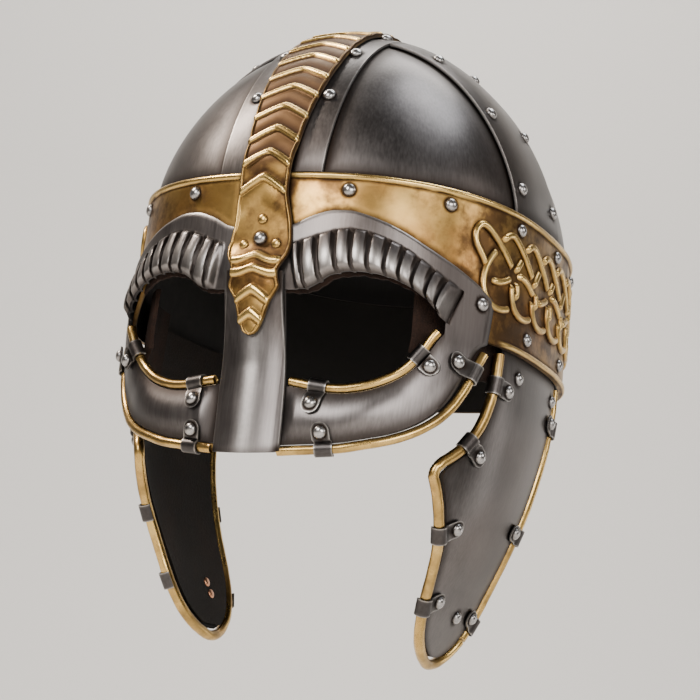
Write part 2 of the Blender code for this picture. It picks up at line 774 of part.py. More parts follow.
def make_crest(collection, cutters):
    """The brass crest strip with its chevrons, its head plate and the studs on it."""
    table = crest_reach()
    rows = crest_rows(table)

    def grid(raised):
        lines = []
        for length, half, relief, drop in rows:
            line = []
            for share in (-1.0, 0.0, 1.0):
                out = CREST_WALL + relief if raised else 0.0
                line.append(crest_at(table, length - drop * abs(share), half * share, out))
            lines.append(line)
        return lines

    crest = wall("crest", grid(True), grid(False), collection)
    head = CREST_HEAD_TOP - CREST_TIP
    studs = []
    for down, across, radius, rise in ((0.19, 0.0, DOT_RADIUS, DOT_RISE), (0.31, 0.0, RIVET_RADIUS, RIVET_RISE),
                                       (0.35, 0.62, DOT_RADIUS, DOT_RISE), (0.35, -0.62, DOT_RADIUS, DOT_RISE)):
        length = head * (1.0 - down)
        x = across * CREST_HALF
        centre = crest_at(table, length, x, CREST_WALL + 0.1 * CHEVRON_RISE)
        studs.append(dome(centre, Vector((0.0, -1.0, 0.0)), radius, rise))
    join_all(crest, "crest_studs", studs, cutters)
    return crest


def knot_strands():
    """Middle lines of the two interlaced strands, as length along the band and height."""
    strands = []
    steps = int(KNOT_LENGTH / KNOT_WAVE * KNOT_STEPS * 2)
    for phase in (0.0, math.pi):
        line = []
        for step in range(steps + 1):
            turn = 2.0 * math.pi * KNOT_LENGTH / KNOT_WAVE * step / steps
            along = KNOT_START + KNOT_LENGTH * step / steps + KNOT_LOOP * math.sin(2.0 * turn + phase)
            high = KNOT_MIDDLE + KNOT_SWING * math.cos(turn + phase)
            line.append((along, high))
        strands.append(line)
    return strands


def make_ridge(line, side, under):
    """Points and faces of one raised strand of the knotwork, lower by under than the top strand."""
    points = []
    foot = -RIVET_SINK - under
    for index, (along, high) in enumerate(line):
        before = line[max(index - 1, 0)]
        after = line[min(index + 1, len(line) - 1)]
        step = Vector((after[0] - before[0], after[1] - before[1]))
        step.normalize()
        offset = (-step.y * KNOT_WIDTH / 2.0, step.x * KNOT_WIDTH / 2.0)
        points.append(ring_at(along + offset[0], high + offset[1], foot, side))
        points.append(ring_at(along, high, KNOT_RISE - under, side))
        points.append(ring_at(along - offset[0], high - offset[1], foot, side))
    faces = [(0, 1, 2)]
    for index in range(len(line) - 1):
        here = 3 * index
        there = here + 3
        for corner in range(3):
            after = (corner + 1) % 3
            faces.append((here + corner, there + corner, there + after))
            faces.append((here + corner, there + after, here + after))
    end = 3 * (len(line) - 1)
    faces.append((end + 2, end + 1, end))
    return points, faces


def make_brow_band(collection, cutters):
    """The brass band round the head, its rims rolled, its knotwork and rivets raised."""
    columns = BAND_STATIONS
    points = []
    section = 8
    for column in range(columns):
        turn = -math.pi + 2.0 * math.pi * column / columns
        rough = ring_point(turn, 0.0, 0.0)
        low = band_bottom(rough.x) if rough.y < 0.0 else 0.0
        clear = (abs(rough.x) - MASK_HALF - BAND_BEAD_WIDTH) / BAND_BEAD_WIDTH
        bead = BAND_BEAD_RISE * (ease(clear) if rough.y < 0.0 else 1.0)
        profile = (
            (low, -BAND_WALL), (low, bead), (low + BAND_BEAD_WIDTH, bead),
            (low + 1.3 * BAND_BEAD_WIDTH, 0.0), (BAND_HEIGHT - 1.3 * BAND_BEAD_WIDTH, 0.0),
            (BAND_HEIGHT - BAND_BEAD_WIDTH, BAND_BEAD_RISE), (BAND_HEIGHT, BAND_BEAD_RISE),
            (BAND_HEIGHT, -BAND_WALL),
        )
        points += [ring_point(turn, height, out) for height, out in profile]
    faces = []
    for column in range(columns):
        here = column * section
        there = (column + 1) % columns * section
        for corner in range(section):
            after = (corner + 1) % section
            faces.append((here + corner, there + corner, there + after))
            faces.append((here + corner, there + after, here + after))
    band = make_object("brow_band", points, faces, collection)
    for side in (-1.0, 1.0):
        for number, line in enumerate(knot_strands()):
            join_all(band, "knotwork", [make_ridge(line, side, KNOT_UNDER * number)], cutters)
    heads = []
    for side in (-1.0, 1.0):
        for rivet in range(BAND_RIVETS):
            length = BAND_RIVET_FIRST + BAND_RIVET_PITCH * rivet
            height = BAND_HEIGHT - BAND_RIVET_DROP
            centre = ring_at(length, height, 0.0, side)
            normal = (ring_at(length, height, MM, side) - centre).normalized()
            heads.append(dome(centre, normal, RIVET_RADIUS, RIVET_RISE))
        for y in (HINGE_RIVET_FRONT, HINGE_RIVET_BACK):
            turn = solve(lambda value: ring_point(value, HINGE_RIVET_HEIGHT, 0.0).y - y, 0.3, 2.8)
            centre = ring_point(turn, HINGE_RIVET_HEIGHT, 0.0)
            normal = (ring_point(turn, HINGE_RIVET_HEIGHT, MM) - centre).normalized()
            centre.x = side * centre.x
            normal.x = side * normal.x
            heads.append(dome(centre, normal, RIVET_RADIUS, RIVET_RISE))
    join_all(band, "band_rivets", heads, cutters)
    return band


def flute_places():
    """Places of the mask's columns on one side, as shares at the top, with each fold's height."""
    first = MASK_COLUMNS[1].at_top
    last = MASK_COLUMNS[EYE_CORNER_COLUMN].at_top
    places = [(0.0, 0.0), (first / 2.0, 0.0)]
    steps = 2 * FLUTES
    table = []
    for step in range(steps + 1):
        table.append((first + (last - first) * step / steps, float(step % 2)))
    places += table
    places += [(MASK_COLUMNS[EYE_CORNER_COLUMN + 1].at_top, 0.0), (1.0, 0.0)]
    return places


def mask_column(share, fold):
    """Points of one mask column from top to bottom, as x, height, bulge, and whether it is fluted."""
    side = -1.0 if share < 0.0 else 1.0
    at = abs(share)
    top_x = MASK_HALF * at
    eye_x = MASK_HALF * read_rows(MASK_COLUMNS, at, 0, 1)
    low_x = MASK_HALF * read_rows(MASK_COLUMNS, at, 0, 2)
    top = edge_height(MASK_TOP_EDGE, top_x, MASK_RISE)
    flute = edge_height(FLUTE_TOP_EDGE, top_x, FLUTE_TOP_RISE)
    eye_top = edge_height(EYE_TOP_EDGE, eye_x, EYE_RISE)
    eye_low = edge_height(EYE_BOTTOM_EDGE, eye_x, EYE_DROP, -1.0)
    low = edge_height(MASK_BOTTOM_EDGE, low_x, MASK_DROP, -1.0)
    corner = MASK_COLUMNS[EYE_CORNER_COLUMN].at_top
    if at >= corner - 0.0001:
        eye_low = eye_top
    beside = ease((top_x - CREST_HALF * max(row.half for row in CREST_HEAD)) / FLUTE_START)
    fade = ease((corner - at) / 0.08) * beside
    depth = fold * FLUTE_RISE * beside
    lip = flute - FLUTE_LIP

    def between(high):
        share_down = (high - eye_top) / (flute - eye_top)
        return eye_x + (top_x - eye_x) * share_down

    middle = (lip + eye_top) * 0.45
    upper = [
        (top_x, top, 0.0), (top_x, flute, 0.0), (between(lip), lip, depth + 0.3 * BROW_BULGE * fade),
        (between(middle), middle, depth + BROW_BULGE * fade),
        (eye_x, eye_top, 0.6 * depth - BROW_ROLL * fade * 0.3),
    ]
    for step in range(1, BRIDGE_ROWS):
        down = step / BRIDGE_ROWS
        upper.append((eye_x, eye_top + (eye_low - eye_top) * down, 0.0))
    lower = []
    for step in range(4):
        down = step / 3.0
        x = eye_x + (low_x - eye_x) * down
        height = eye_low + (low - eye_low) * down
        lower.append((x, height, cheek_swell(x, height)))
    return [(side * x, height, bulge) for x, height, bulge in upper + lower]


def make_mask(collection, cutters):
    """The steel mask with fluted brows and both eye openings."""
    right_half = flute_places()
    places = [(-share, fold) for share, fold in reversed(right_half[1:])] + right_half
    outer = []
    inner = []
    for share, fold in places:
        column = mask_column(share, fold)
        outer.append([mask_point(x, height, mask_out() + bulge) for x, height, bulge in column])
        inner.append([mask_point(x, height, SEAT_GAP + bulge) for x, height, bulge in column])
    skip = []
    eye_row = 4
    for index, (low, high) in enumerate(zip(places, places[1:])):
        if min(abs(low[0]), abs(high[0])) >= MASK_COLUMNS[1].at_top - 1e-6:
            skip += [(index, eye_row + step) for step in range(BRIDGE_ROWS)]
    mask = wall("mask", outer, inner, collection, skip)
    heads = []
    for side in (-1.0, 1.0):
        x = side * TEMPLE_RIVET_ACROSS
        height = TEMPLE_RIVET_HEIGHT
        centre = mask_point(x, height, mask_out())
        normal = surface_normal(lambda a, b, out: mask_point(a, b, mask_out() + out), x, height)
        heads.append(dome(centre, normal, RIVET_RADIUS, RIVET_RISE))
    join_all(mask, "temple_rivets", heads, cutters)
    return mask


def make_nasal(collection):
    """The half-round strip down the nose."""
    def grid(out):
        rows = []
        for row in range(9):
            height = NASAL_TOP - (NASAL_TOP + NASAL_DROP) * row / 8.0
            rows.append([nasal_point(NASAL_HALF * (column / 3.0 - 1.0), height, out) for column in range(7)])
        return rows

    return wall("nasal", grid(MASK_WALL), grid(0.0), collection)


def make_brow_lining(collection):
    """The leather strip behind the brow edge of both eye openings."""
    places = [step / 9.0 * LINING_SPAN for step in range(-9, 10)]

    def grid(out):
        rows = []
        for share in places:
            x = share * MASK_HALF * MASK_COLUMNS[EYE_CORNER_COLUMN].at_eye
            low = edge_height(EYE_TOP_EDGE, x, EYE_RISE) - LINING_SHOW
            high = band_bottom(x) - LINING_DROP
            rows.append([mask_point(x, low + (high - low) * step / 2.0, out) for step in range(3)])
        return rows

    behind = SEAT_GAP - EDGE_GAP - BROW_ROLL * 0.2
    return wall("brow_lining", grid(behind), grid(behind - LEATHER_WALL), collection)


def resample(points, spacing):
    """Points spaced evenly along a line in space."""
    lengths = [0.0]
    for before, after in zip(points, points[1:]):
        lengths.append(lengths[-1] + (after - before).length)
    count = max(int(round(lengths[-1] / spacing)), 2)
    line = []
    index = 0
    for step in range(count + 1):
        length = lengths[-1] * step / count
        while index < len(points) - 2 and lengths[index + 1] < length:
            index += 1
        share = (length - lengths[index]) / max(lengths[index + 1] - lengths[index], 1e-9)
        line.append(points[index].lerp(points[index + 1], min(share, 1.0)))
    return line


def shift_line(flat, distance):
    """A flat line moved sideways by a distance, to the left of its direction, with sharp corners."""
    steps = [Vector((after[0] - before[0], after[1] - before[1])).normalized()
             for before, after in zip(flat, flat[1:])]
    moved = []
    for index, point in enumerate(flat):
        coming = steps[max(index - 1, 0)]
        going = steps[min(index, len(steps) - 1)]
        middle = (coming + going).normalized()
        reach = distance / max(middle.dot(going), 0.5)
        moved.append((point[0] - middle.y * reach, point[1] + middle.x * reach))
    return moved


def tube(name, line, radius, collection):
    """A round tube along a line, with closed ends."""
    curve = bpy.data.curves.new(name, "CURVE")
    curve.dimensions = "3D"
    spline = curve.splines.new("POLY")
    spline.points.add(len(line) - 1)
    for target, point in zip(spline.points, line):
        target.co = (point.x, point.y, point.z, 1.0)
    curve.bevel_depth = radius
    curve.bevel_resolution = 1
    curve.use_fill_caps = True
    made = bpy.data.objects.new(name, curve)
    collection.objects.link(made)
    return made


def eye_tube_flat():
    """Middle line of the eye tube, as x and height, from the nose to the outer corner."""
    edge = []
    for step in range(25):
        share = 0.18 + (0.875 - 0.18) * step / 24.0
        edge.append((share * MASK_HALF, edge_height(EYE_BOTTOM_EDGE, share * MASK_HALF, EYE_DROP, -1.0)))
    line = shift_line(edge, FACE_TUBE_RADIUS + EDGE_GAP)
    start = NASAL_HALF + FACE_TUBE_RADIUS
    return [point for point in line if point[0] > start]


def mask_tube_flat():
    """Middle line of the tube under the mask, as x and height, from the nose to the temple."""
    edge = []
    first = (NASAL_HALF + TUBE_END_GAP) / MASK_HALF
    for step in range(33):
        share = first + (0.985 - first) * step / 32.0
        edge.append((share * MASK_HALF, edge_height(MASK_BOTTOM_EDGE, share * MASK_HALF, MASK_DROP, -1.0)))
    return shift_line(edge, -FACE_TUBE_RADIUS - EDGE_GAP)


def cheek_lift(side):
    """How much higher one cheek plate hangs than the other."""
    return RIGHT_CHEEK_LIFT if side < 0.0 else 0.0


def cheek_tube_flat(side):
    """Middle line of the cheek tube, as y and height: down the front, round the tip, up the back."""
    lift = cheek_lift(side)
    front = [(row.front * CHEEK_REACH, lift - row.down * CHEEK_LENGTH) for row in CHEEK_OUTLINE]
    back = [(row.back * CHEEK_REACH, lift - row.down * CHEEK_LENGTH) for row in CHEEK_OUTLINE]
    front[1] = (front[1][0], -CHEEK_TUBE_RADIUS)
    back[1] = (back[1][0], -CHEEK_TUBE_RADIUS)
    tip = (0.12 * CHEEK_REACH, lift - CHEEK_LENGTH)
    line = front[1:] + [tip] + list(reversed(back[1:]))
    return line


def make_tubes(side, collection):
    """The three brass tubes of one side."""
    word = "left" if side > 0.0 else "right"
    middle = mask_out() - MASK_WALL / 2.0
    eye = [mask_point(side * x, height, middle) for x, height in eye_tube_flat()]
    tube("eye_tube_" + word, resample(eye, TUBE_STEP), FACE_TUBE_RADIUS, collection)
    low = [mask_point(side * x, height, middle) for x, height in mask_tube_flat()]
    tube("mask_tube_" + word, resample(low, TUBE_STEP), FACE_TUBE_RADIUS, collection)
    flat = cheek_tube_flat(side)
    cheek = [cheek_point(y, height, -PLATE_WALL / 2.0, side) for y, height in flat]
    tube("cheek_tube_" + word, cheek, CHEEK_TUBE_RADIUS, collection)


def cheek_edges(inset, top, side):
    """Rows of a sheet inside the cheek tube, as height with its front and back places."""
    line = shift_line(cheek_tube_flat(side), inset)
    lowest = min(range(len(line)), key=lambda index: line[index][1])
    front = sorted((height, y) for y, height in line[:lowest + 1])
    back = sorted((height, y) for y, height in line[lowest:])
    corners = [height for height, y in reversed(front)]
    heights = [top] + [height for height in corners if front[0][0] + 1.5 * MM < height < top - 3.0 * MM]
    heights.append(front[0][0] + 0.8 * MM)
    rows = []
    for height in heights:
        rows.append((height, read_rows(front, height), read_rows(back, height)))
    return rows


def make_cheek(side, collection, cutters):
    """One cheek plate with its plain rivets, and the leather behind it."""
    word = "left" if side > 0.0 else "right"
    rows = cheek_edges(CHEEK_TUBE_RADIUS + SEAT_GAP, CHEEK_TOP, side)

    def grid(table, out, inset):
        lines = []
        for height, front, back in table:
            trim = min(inset, 0.2 * (back - front))
            places = [front + (back - front) * step / 4.0 for step in range(5)]
            places[0] += trim
            places[4] -= trim
            lines.append([cheek_point(y, height, out, side) for y in places])
        return lines

    plate = wall("cheek_plate_" + word, grid(rows, 0.0, 0.0), grid(rows, -PLATE_WALL, 0.0), collection)
    heads = []
    chin = cheek_lift(side) - CHIN_RIVET_DROP
    places = ((HINGE_RIVET_FRONT, -HINGE_RIVET_DROP), (HINGE_RIVET_BACK, -HINGE_RIVET_DROP),
              (CHIN_RIVET_BACK, chin))
    for y, height in places:
        centre = cheek_point(y, height, 0.0, side)
        normal = surface_normal(lambda a, b, out: cheek_point(a, b, out, side), y, height)
        heads.append(dome(centre, normal, RIVET_RADIUS, RIVET_RISE))
    join_all(plate, "cheek_rivets_" + word, heads, cutters)
    behind = -PLATE_WALL - LINING_SEAT
    rows[0] = (LINING_TOP, rows[0][1], rows[0][2])
    rows[-1] = (rows[-1][0] + LINING_INSET, rows[-1][1], rows[-1][2])
    lining = wall("cheek_lining_" + word, grid(rows, behind, LINING_INSET),
                  grid(rows, behind - LEATHER_WALL, LINING_INSET), collection)
    return plate, lining


def walk(function, start, direction, distance):
    """Place on a surface at a straight distance from a start, in a direction over its two places."""
    origin = function(start[0], start[1], 0.0)

    def reach(scale):
        there = function(start[0] + direction[0] * scale, start[1] + direction[1] * scale, 0.0)
        return (there - origin).length - distance

    scale = solve(reach, 0.0, 3.0 * distance)
    return start[0] + direction[0] * scale, start[1] + direction[1] * scale


def across_tube(function, here, tangent):
    """Direction square to a tube over a surface's two places, level with the surface."""
    first = function(here[0] + MM, here[1], 0.0) - function(here[0], here[1], 0.0)
    second = function(here[0], here[1] + MM, 0.0) - function(here[0], here[1], 0.0)
    direction = Vector((second.dot(tangent), -first.dot(tangent)))
    direction.normalize()
    return direction


def make_clip(name, function, flat, share, radius, inward, face, collection, cutters):
    """One steel clip bent round a tube and riveted to the sheet beside it."""
    lengths = [0.0]
    space = [function(point[0], point[1], 0.0) for point in flat]
    for before, after in zip(space, space[1:]):
        lengths.append(lengths[-1] + (after - before).length)

    def place_at(length):
        index = max(step for step in range(len(flat) - 1) if lengths[step] <= max(length, 0.0))
        part = (length - lengths[index]) / (lengths[index + 1] - lengths[index])
        return Vector([flat[index][axis] + (flat[index + 1][axis] - flat[index][axis]) * part for axis in (0, 1)])

    middle = share * lengths[-1]
    before = place_at(middle - CLIP_HALF)
    after = place_at(middle + CLIP_HALF)
    here = (place_at(middle) + (before + after) / 2.0) / 2.0
    along = (after - before).normalized()
    centre = function(here.x, here.y, 0.0)
    normal = surface_normal(function, here.x, here.y)
    tangent = (function(after.x, after.y, 0.0) - function(before.x, before.y, 0.0)).normalized()
    direction = across_tube(function, here, tangent)
    if direction.dot(Vector((-along.y, along.x))) * inward < 0.0:
        direction = -direction
    ahead = walk(function, here, direction, CLIP_REACH)
    toward = normal.cross(tangent).normalized()
    if toward.dot(function(ahead[0], ahead[1], 0.0) - centre) < 0.0:
        toward = -toward
    line_low = []
    line_high = []
    for distance, width in ((CLIP_REACH + CLIP_TAB, 0.62), (CLIP_REACH - RIVET_RADIUS - RIVET_SINK, 1.0)):
        place = walk(function, here, direction, distance)
        ends = [walk(function, place, sign * along, CLIP_HALF * width) for sign in (-1.0, 1.0)]
        line_low.append([function(end[0], end[1], face + CLIP_SEAT) for end in ends])
        line_high.append([function(end[0], end[1], face + CLIP_SEAT + CLIP_WALL) for end in ends])
    side = tangent * CLIP_HALF
    grow = 1.0 / math.cos(math.radians((CLIP_WRAP - CLIP_LIFT) / 8.0))
    for step in range(5):
        turn = math.radians(CLIP_LIFT + (CLIP_WRAP - CLIP_LIFT) * step / 4.0)
        reach = (toward * math.cos(turn) + normal * math.sin(turn)) * grow
        low = centre + reach * (radius + CLIP_GRIP)
        high = centre + reach * (radius + CLIP_GRIP + CLIP_WALL)
        line_low.append([low - side, low + side])
        line_high.append([high - side, high + side])
    clip = wall(name, line_high, line_low, collection)
    outer_end = (line_high[0][0] + line_high[0][1]) / 2.0
    inner_end = (line_high[1][0] + line_high[1][1]) / 2.0
    head_centre = outer_end.lerp(inner_end, CLIP_TAB / (CLIP_TAB + RIVET_RADIUS + RIVET_SINK))
    head_normal = (outer_end - inner_end).cross(tangent).normalized()
    if head_normal.dot(normal) < 0.0:
        head_normal = -head_normal
    join_all(clip, name + "_rivet", [dome(head_centre, head_normal, RIVET_RADIUS, RIVET_RISE)], cutters)
    return clip


def make_clips(side, collection, cutters):
    """All the clips of one side."""
    word = "left" if side > 0.0 else "right"
    middle = mask_out() - MASK_WALL / 2.0

    def on_mask(x, height, out):
        return mask_point(side * x, height, middle + cheek_swell(x, height) + out)

    def on_cheek(y, height, out):
        return cheek_point(y, height, -PLATE_WALL / 2.0 + out, side)

    made = []
    for number, share in enumerate(EYE_CLIPS, 1):
        made.append(make_clip("eye_clip_%s_%d" % (word, number), on_mask, eye_tube_flat(), share,
                              FACE_TUBE_RADIUS, -1.0, MASK_WALL / 2.0 + CLIP_BOW, collection, cutters))
    for number, share in enumerate(MASK_CLIPS, 1):
        made.append(make_clip("mask_clip_%s_%d" % (word, number), on_mask, mask_tube_flat(), share,
                              FACE_TUBE_RADIUS, 1.0, MASK_WALL / 2.0 + CLIP_BOW, collection, cutters))
    for number, share in enumerate(CHEEK_CLIPS, 1):
        made.append(make_clip("cheek_clip_%s_%d" % (word, number), on_cheek, cheek_tube_flat(side), share,
                              CHEEK_TUBE_RADIUS, 1.0, PLATE_WALL / 2.0, collection, cutters))
    return made


def material(name, colour, metallic, roughness):
    """One plain material."""
    made = bpy.data.materials.new(name)
    made.use_nodes = True
    shader = made.node_tree.nodes["Principled BSDF"]
    shader.inputs["Base Color"].default_value = (*colour, 1.0)
    shader.inputs["Metallic"].default_value = metallic
    shader.inputs["Roughness"].default_value = roughness
    return made


def finish_for(name):
    """Colour, metallic and roughness of a piece by its name."""
    if name.startswith(("brow_band", "crest")):
        return (0.55, 0.36, 0.13), 1.0, 0.35
    if "tube" in name:
        return (0.68, 0.45, 0.17), 1.0, 0.28
    if "lining" in name:
        return (0.035, 0.022, 0.016), 0.0, 0.85
    if "clip" in name:
        return (0.16, 0.15, 0.15), 1.0, 0.38
    return (0.24, 0.23, 0.23), 1.0, 0.34


def main():
    """Make every piece of the helmet."""
    for old in list(bpy.data.objects):
        bpy.data.objects.remove(old)
    collection = bpy.data.collections.new(COLLECTION)
    cutters = bpy.data.collections.new(CUTTERS)
    bpy.context.scene.collection.children.link(collection)
    bpy.context.scene.collection.children.link(cutters)
    for side, word in ((1.0, "left"), (-1.0, "right")):
        make_skull_plate("skull_plate_front_" + word, side, True, collection)
        make_skull_plate("skull_plate_back_" + word, side, False, collection)
        make_cross_band(side, collection, cutters)
        make_tubes(side, collection)
        make_cheek(side, collection, cutters)
        make_clips(side, collection, cutters)
    make_keel_band(collection, cutters)
    make_crest(collection, cutters)
    make_brow_band(collection, cutters)
    make_mask(collection, cutters)
    make_nasal(collection)
    make_brow_lining(collection)
    for made in collection.objects:
        finish = finish_for(made.name)
        made.data.materials.append(material(made.name, *finish))
        if made.type == "MESH":
            for face in made.data.polygons:
                face.use_smooth = False


main()
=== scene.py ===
"""The dressed spectacle helmet: every plate, band, tube, clip and strap, with its finish.

Metres, +Z up, the face looks toward -Y and the wearer's left is +X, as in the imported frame.
"""

import logging
import math
from dataclasses import dataclass, field
from enum import Enum
from typing import Any, Callable

import bpy
import numpy as np
from mathutils import Matrix, Vector


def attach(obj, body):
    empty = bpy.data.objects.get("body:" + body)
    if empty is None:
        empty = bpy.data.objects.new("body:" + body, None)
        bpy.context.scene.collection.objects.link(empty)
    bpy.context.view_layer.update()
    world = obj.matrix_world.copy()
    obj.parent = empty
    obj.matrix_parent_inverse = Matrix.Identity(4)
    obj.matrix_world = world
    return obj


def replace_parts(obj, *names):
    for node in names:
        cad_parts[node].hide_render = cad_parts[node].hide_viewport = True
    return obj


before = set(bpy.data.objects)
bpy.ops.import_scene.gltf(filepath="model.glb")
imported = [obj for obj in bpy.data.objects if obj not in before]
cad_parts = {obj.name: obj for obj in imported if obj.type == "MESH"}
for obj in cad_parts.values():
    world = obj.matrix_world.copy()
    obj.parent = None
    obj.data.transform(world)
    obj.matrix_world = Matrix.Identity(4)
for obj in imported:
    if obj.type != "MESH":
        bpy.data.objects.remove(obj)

Array = np.ndarray
Surface = Callable[[Array, Array, Array], Array]
Triple = tuple[float, float, float]
Material = bpy.types.Material
Table = tuple[tuple[float, ...], ...]
MM = 0.001
BODY = "root"
TONE = "tone"
SHARP = math.radians(50.0)
DOME_SIDES = 20

log = logging.getLogger("helmet")


class Side(Enum):
    """Which side of the wearer a piece is on."""

    LEFT = 1.0
    RIGHT = -1.0

    @property
    def word(self) -> str:
        """Name of the side as the nodes spell it."""
        return self.name.lower()


class Lamp(Enum):
    """What each studio light is for."""

    KEY = "key"
    FRONT = "front"
    FLUTES = "flutes"
    SIDE = "side"
    TOP = "top"
    FILL = "fill"
    CHIN = "chin"
    RIM = "rim"
    WALL = "wall"


def ease(value: Any) -> Array:
    """Ease from 0 to 1, flat at both ends."""
    value = np.clip(np.asarray(value, dtype=float), 0.0, 1.0)
    return value * value * (3.0 - 2.0 * value)


def bump(value: Any) -> Array:
    """A smooth hump that is 1 at 0 and falls to 0 at 1 and -1."""
    value = np.clip(np.abs(np.asarray(value, dtype=float)), 0.0, 1.0)
    return (1.0 - value * value) ** 2


def fading(distance: Any, reach: float) -> Array:
    """1 at an edge, easing down to 0 at a reach away from it."""
    return 1.0 - ease(distance / reach)


def bead(value: Any) -> Array:
    """A half-round that is 1 at 0 and falls to 0 at 1 and -1."""
    value = np.clip(np.abs(np.asarray(value, dtype=float)), 0.0, 1.0)
    return np.sqrt(1.0 - value * value)


def between(value: Any, table: Table, column: int = 1) -> Array:
    """Read one column of a table at a place along its first column.

    Args:
        value: Places along the first column.
        table: Rows in rising order of their first column.
        column: The column to read.

    Returns:
        The values there, joined by straight lines.
    """
    rows = np.array([tuple(row) for row in table], dtype=float)
    return np.interp(np.asarray(value, dtype=float), rows[:, 0], rows[:, column])


def softened(line: Array, rounds: int = 2) -> Array:
    """Cut the corners of an open line so that it bends smoothly.

    Args:
        line: Points of the line.
        rounds: How many times each corner is cut.

    Returns:
        More points, with the ends kept.
    """
    for _ in range(rounds):
        near = line[:-1] * 0.75 + line[1:] * 0.25
        far = line[:-1] * 0.25 + line[1:] * 0.75
        middle = np.stack((near, far), axis=1).reshape(-1, line.shape[1])
        line = np.vstack((line[:1], middle[1:-1], line[-1:]))
    return line


def spaced(line: Array, step: float) -> Array:
    """Points spaced evenly along a line in space.

    Args:
        line: Points of the line.
        step: Distance between two points.

    Returns:
        Points with even gaps.
    """
    steps = np.linalg.norm(np.diff(line, axis=0), axis=1)
    along = np.concatenate(([0.0], np.cumsum(steps)))
    count = max(int(round(along[-1] / step)), 2)
    places = np.linspace(0.0, along[-1], count + 1)
    return np.stack([np.interp(places, along, line[:, axis]) for axis in range(line.shape[1])], axis=1)


def sideways(line: Array, distance: float) -> Array:
    """A flat line moved to the left of its direction, with its corners kept sharp.

    Args:
        line: Points of the line.
        distance: How far it is moved.

    Returns:
        The moved line.
    """
    steps = np.diff(line, axis=0)
    steps /= np.linalg.norm(steps, axis=1)[:, None]
    coming = np.vstack((steps[:1], steps))
    going = np.vstack((steps, steps[-1:]))
    middle = coming + going
    middle /= np.linalg.norm(middle, axis=1)[:, None]
    reach = distance / np.maximum(np.sum(middle * going, axis=1), 0.5)
    return line + np.stack((-middle[:, 1] * reach, middle[:, 0] * reach), axis=1)


def unit(vectors: Array) -> Array:
    """Vectors scaled to length one."""
    return vectors / np.maximum(np.linalg.norm(vectors, axis=-1, keepdims=True), 1e-12)


def alike(*values: Any) -> tuple[Array, ...]:
    """The same numbers as arrays of one shape."""
    return tuple(np.broadcast_arrays(*(np.asarray(value, dtype=float) for value in values)))


def as_faces(corners: Array) -> list[tuple[int, ...]]:
    """Rows of corner numbers as a mesh takes them."""
    return [tuple(row) for row in corners.tolist()]


def tube_faces(rows: int, sides: int) -> Array:
    """Corners of the faces between rings of points that follow one another.

    Args:
        rows: Number of rings.
        sides: Points in each ring.

    Returns:
        Corners, four for each face.
    """
    index = np.arange(rows * sides).reshape(rows, sides)
    after = np.roll(index, -1, axis=1)
    return np.stack((index[:-1], after[:-1], after[1:], index[1:]), axis=-1).reshape(-1, 4)


def normal_at(surface: Surface, first: Any, second: Any, step: float = 0.0005) -> Array:
    """Outward normal of a surface given by two places and an offset.

    Args:
        surface: The surface.
        first: First place on the surface.
        second: Second place on it.
        step: How far apart the compared places are.

    Returns:
        Normals of length one.
    """
    first = np.asarray(first, dtype=float)
    second = np.asarray(second, dtype=float)
    none = np.zeros_like(first)
    here = surface(first, second, none)
    across = surface(first + step, second, none) - here
    along = surface(first, second + step, none) - here
    normal = unit(np.cross(across, along))
    outward = surface(first, second, none + step) - here
    return normal * np.where(np.sum(normal * outward, axis=-1, keepdims=True) < 0.0, -1.0, 1.0)


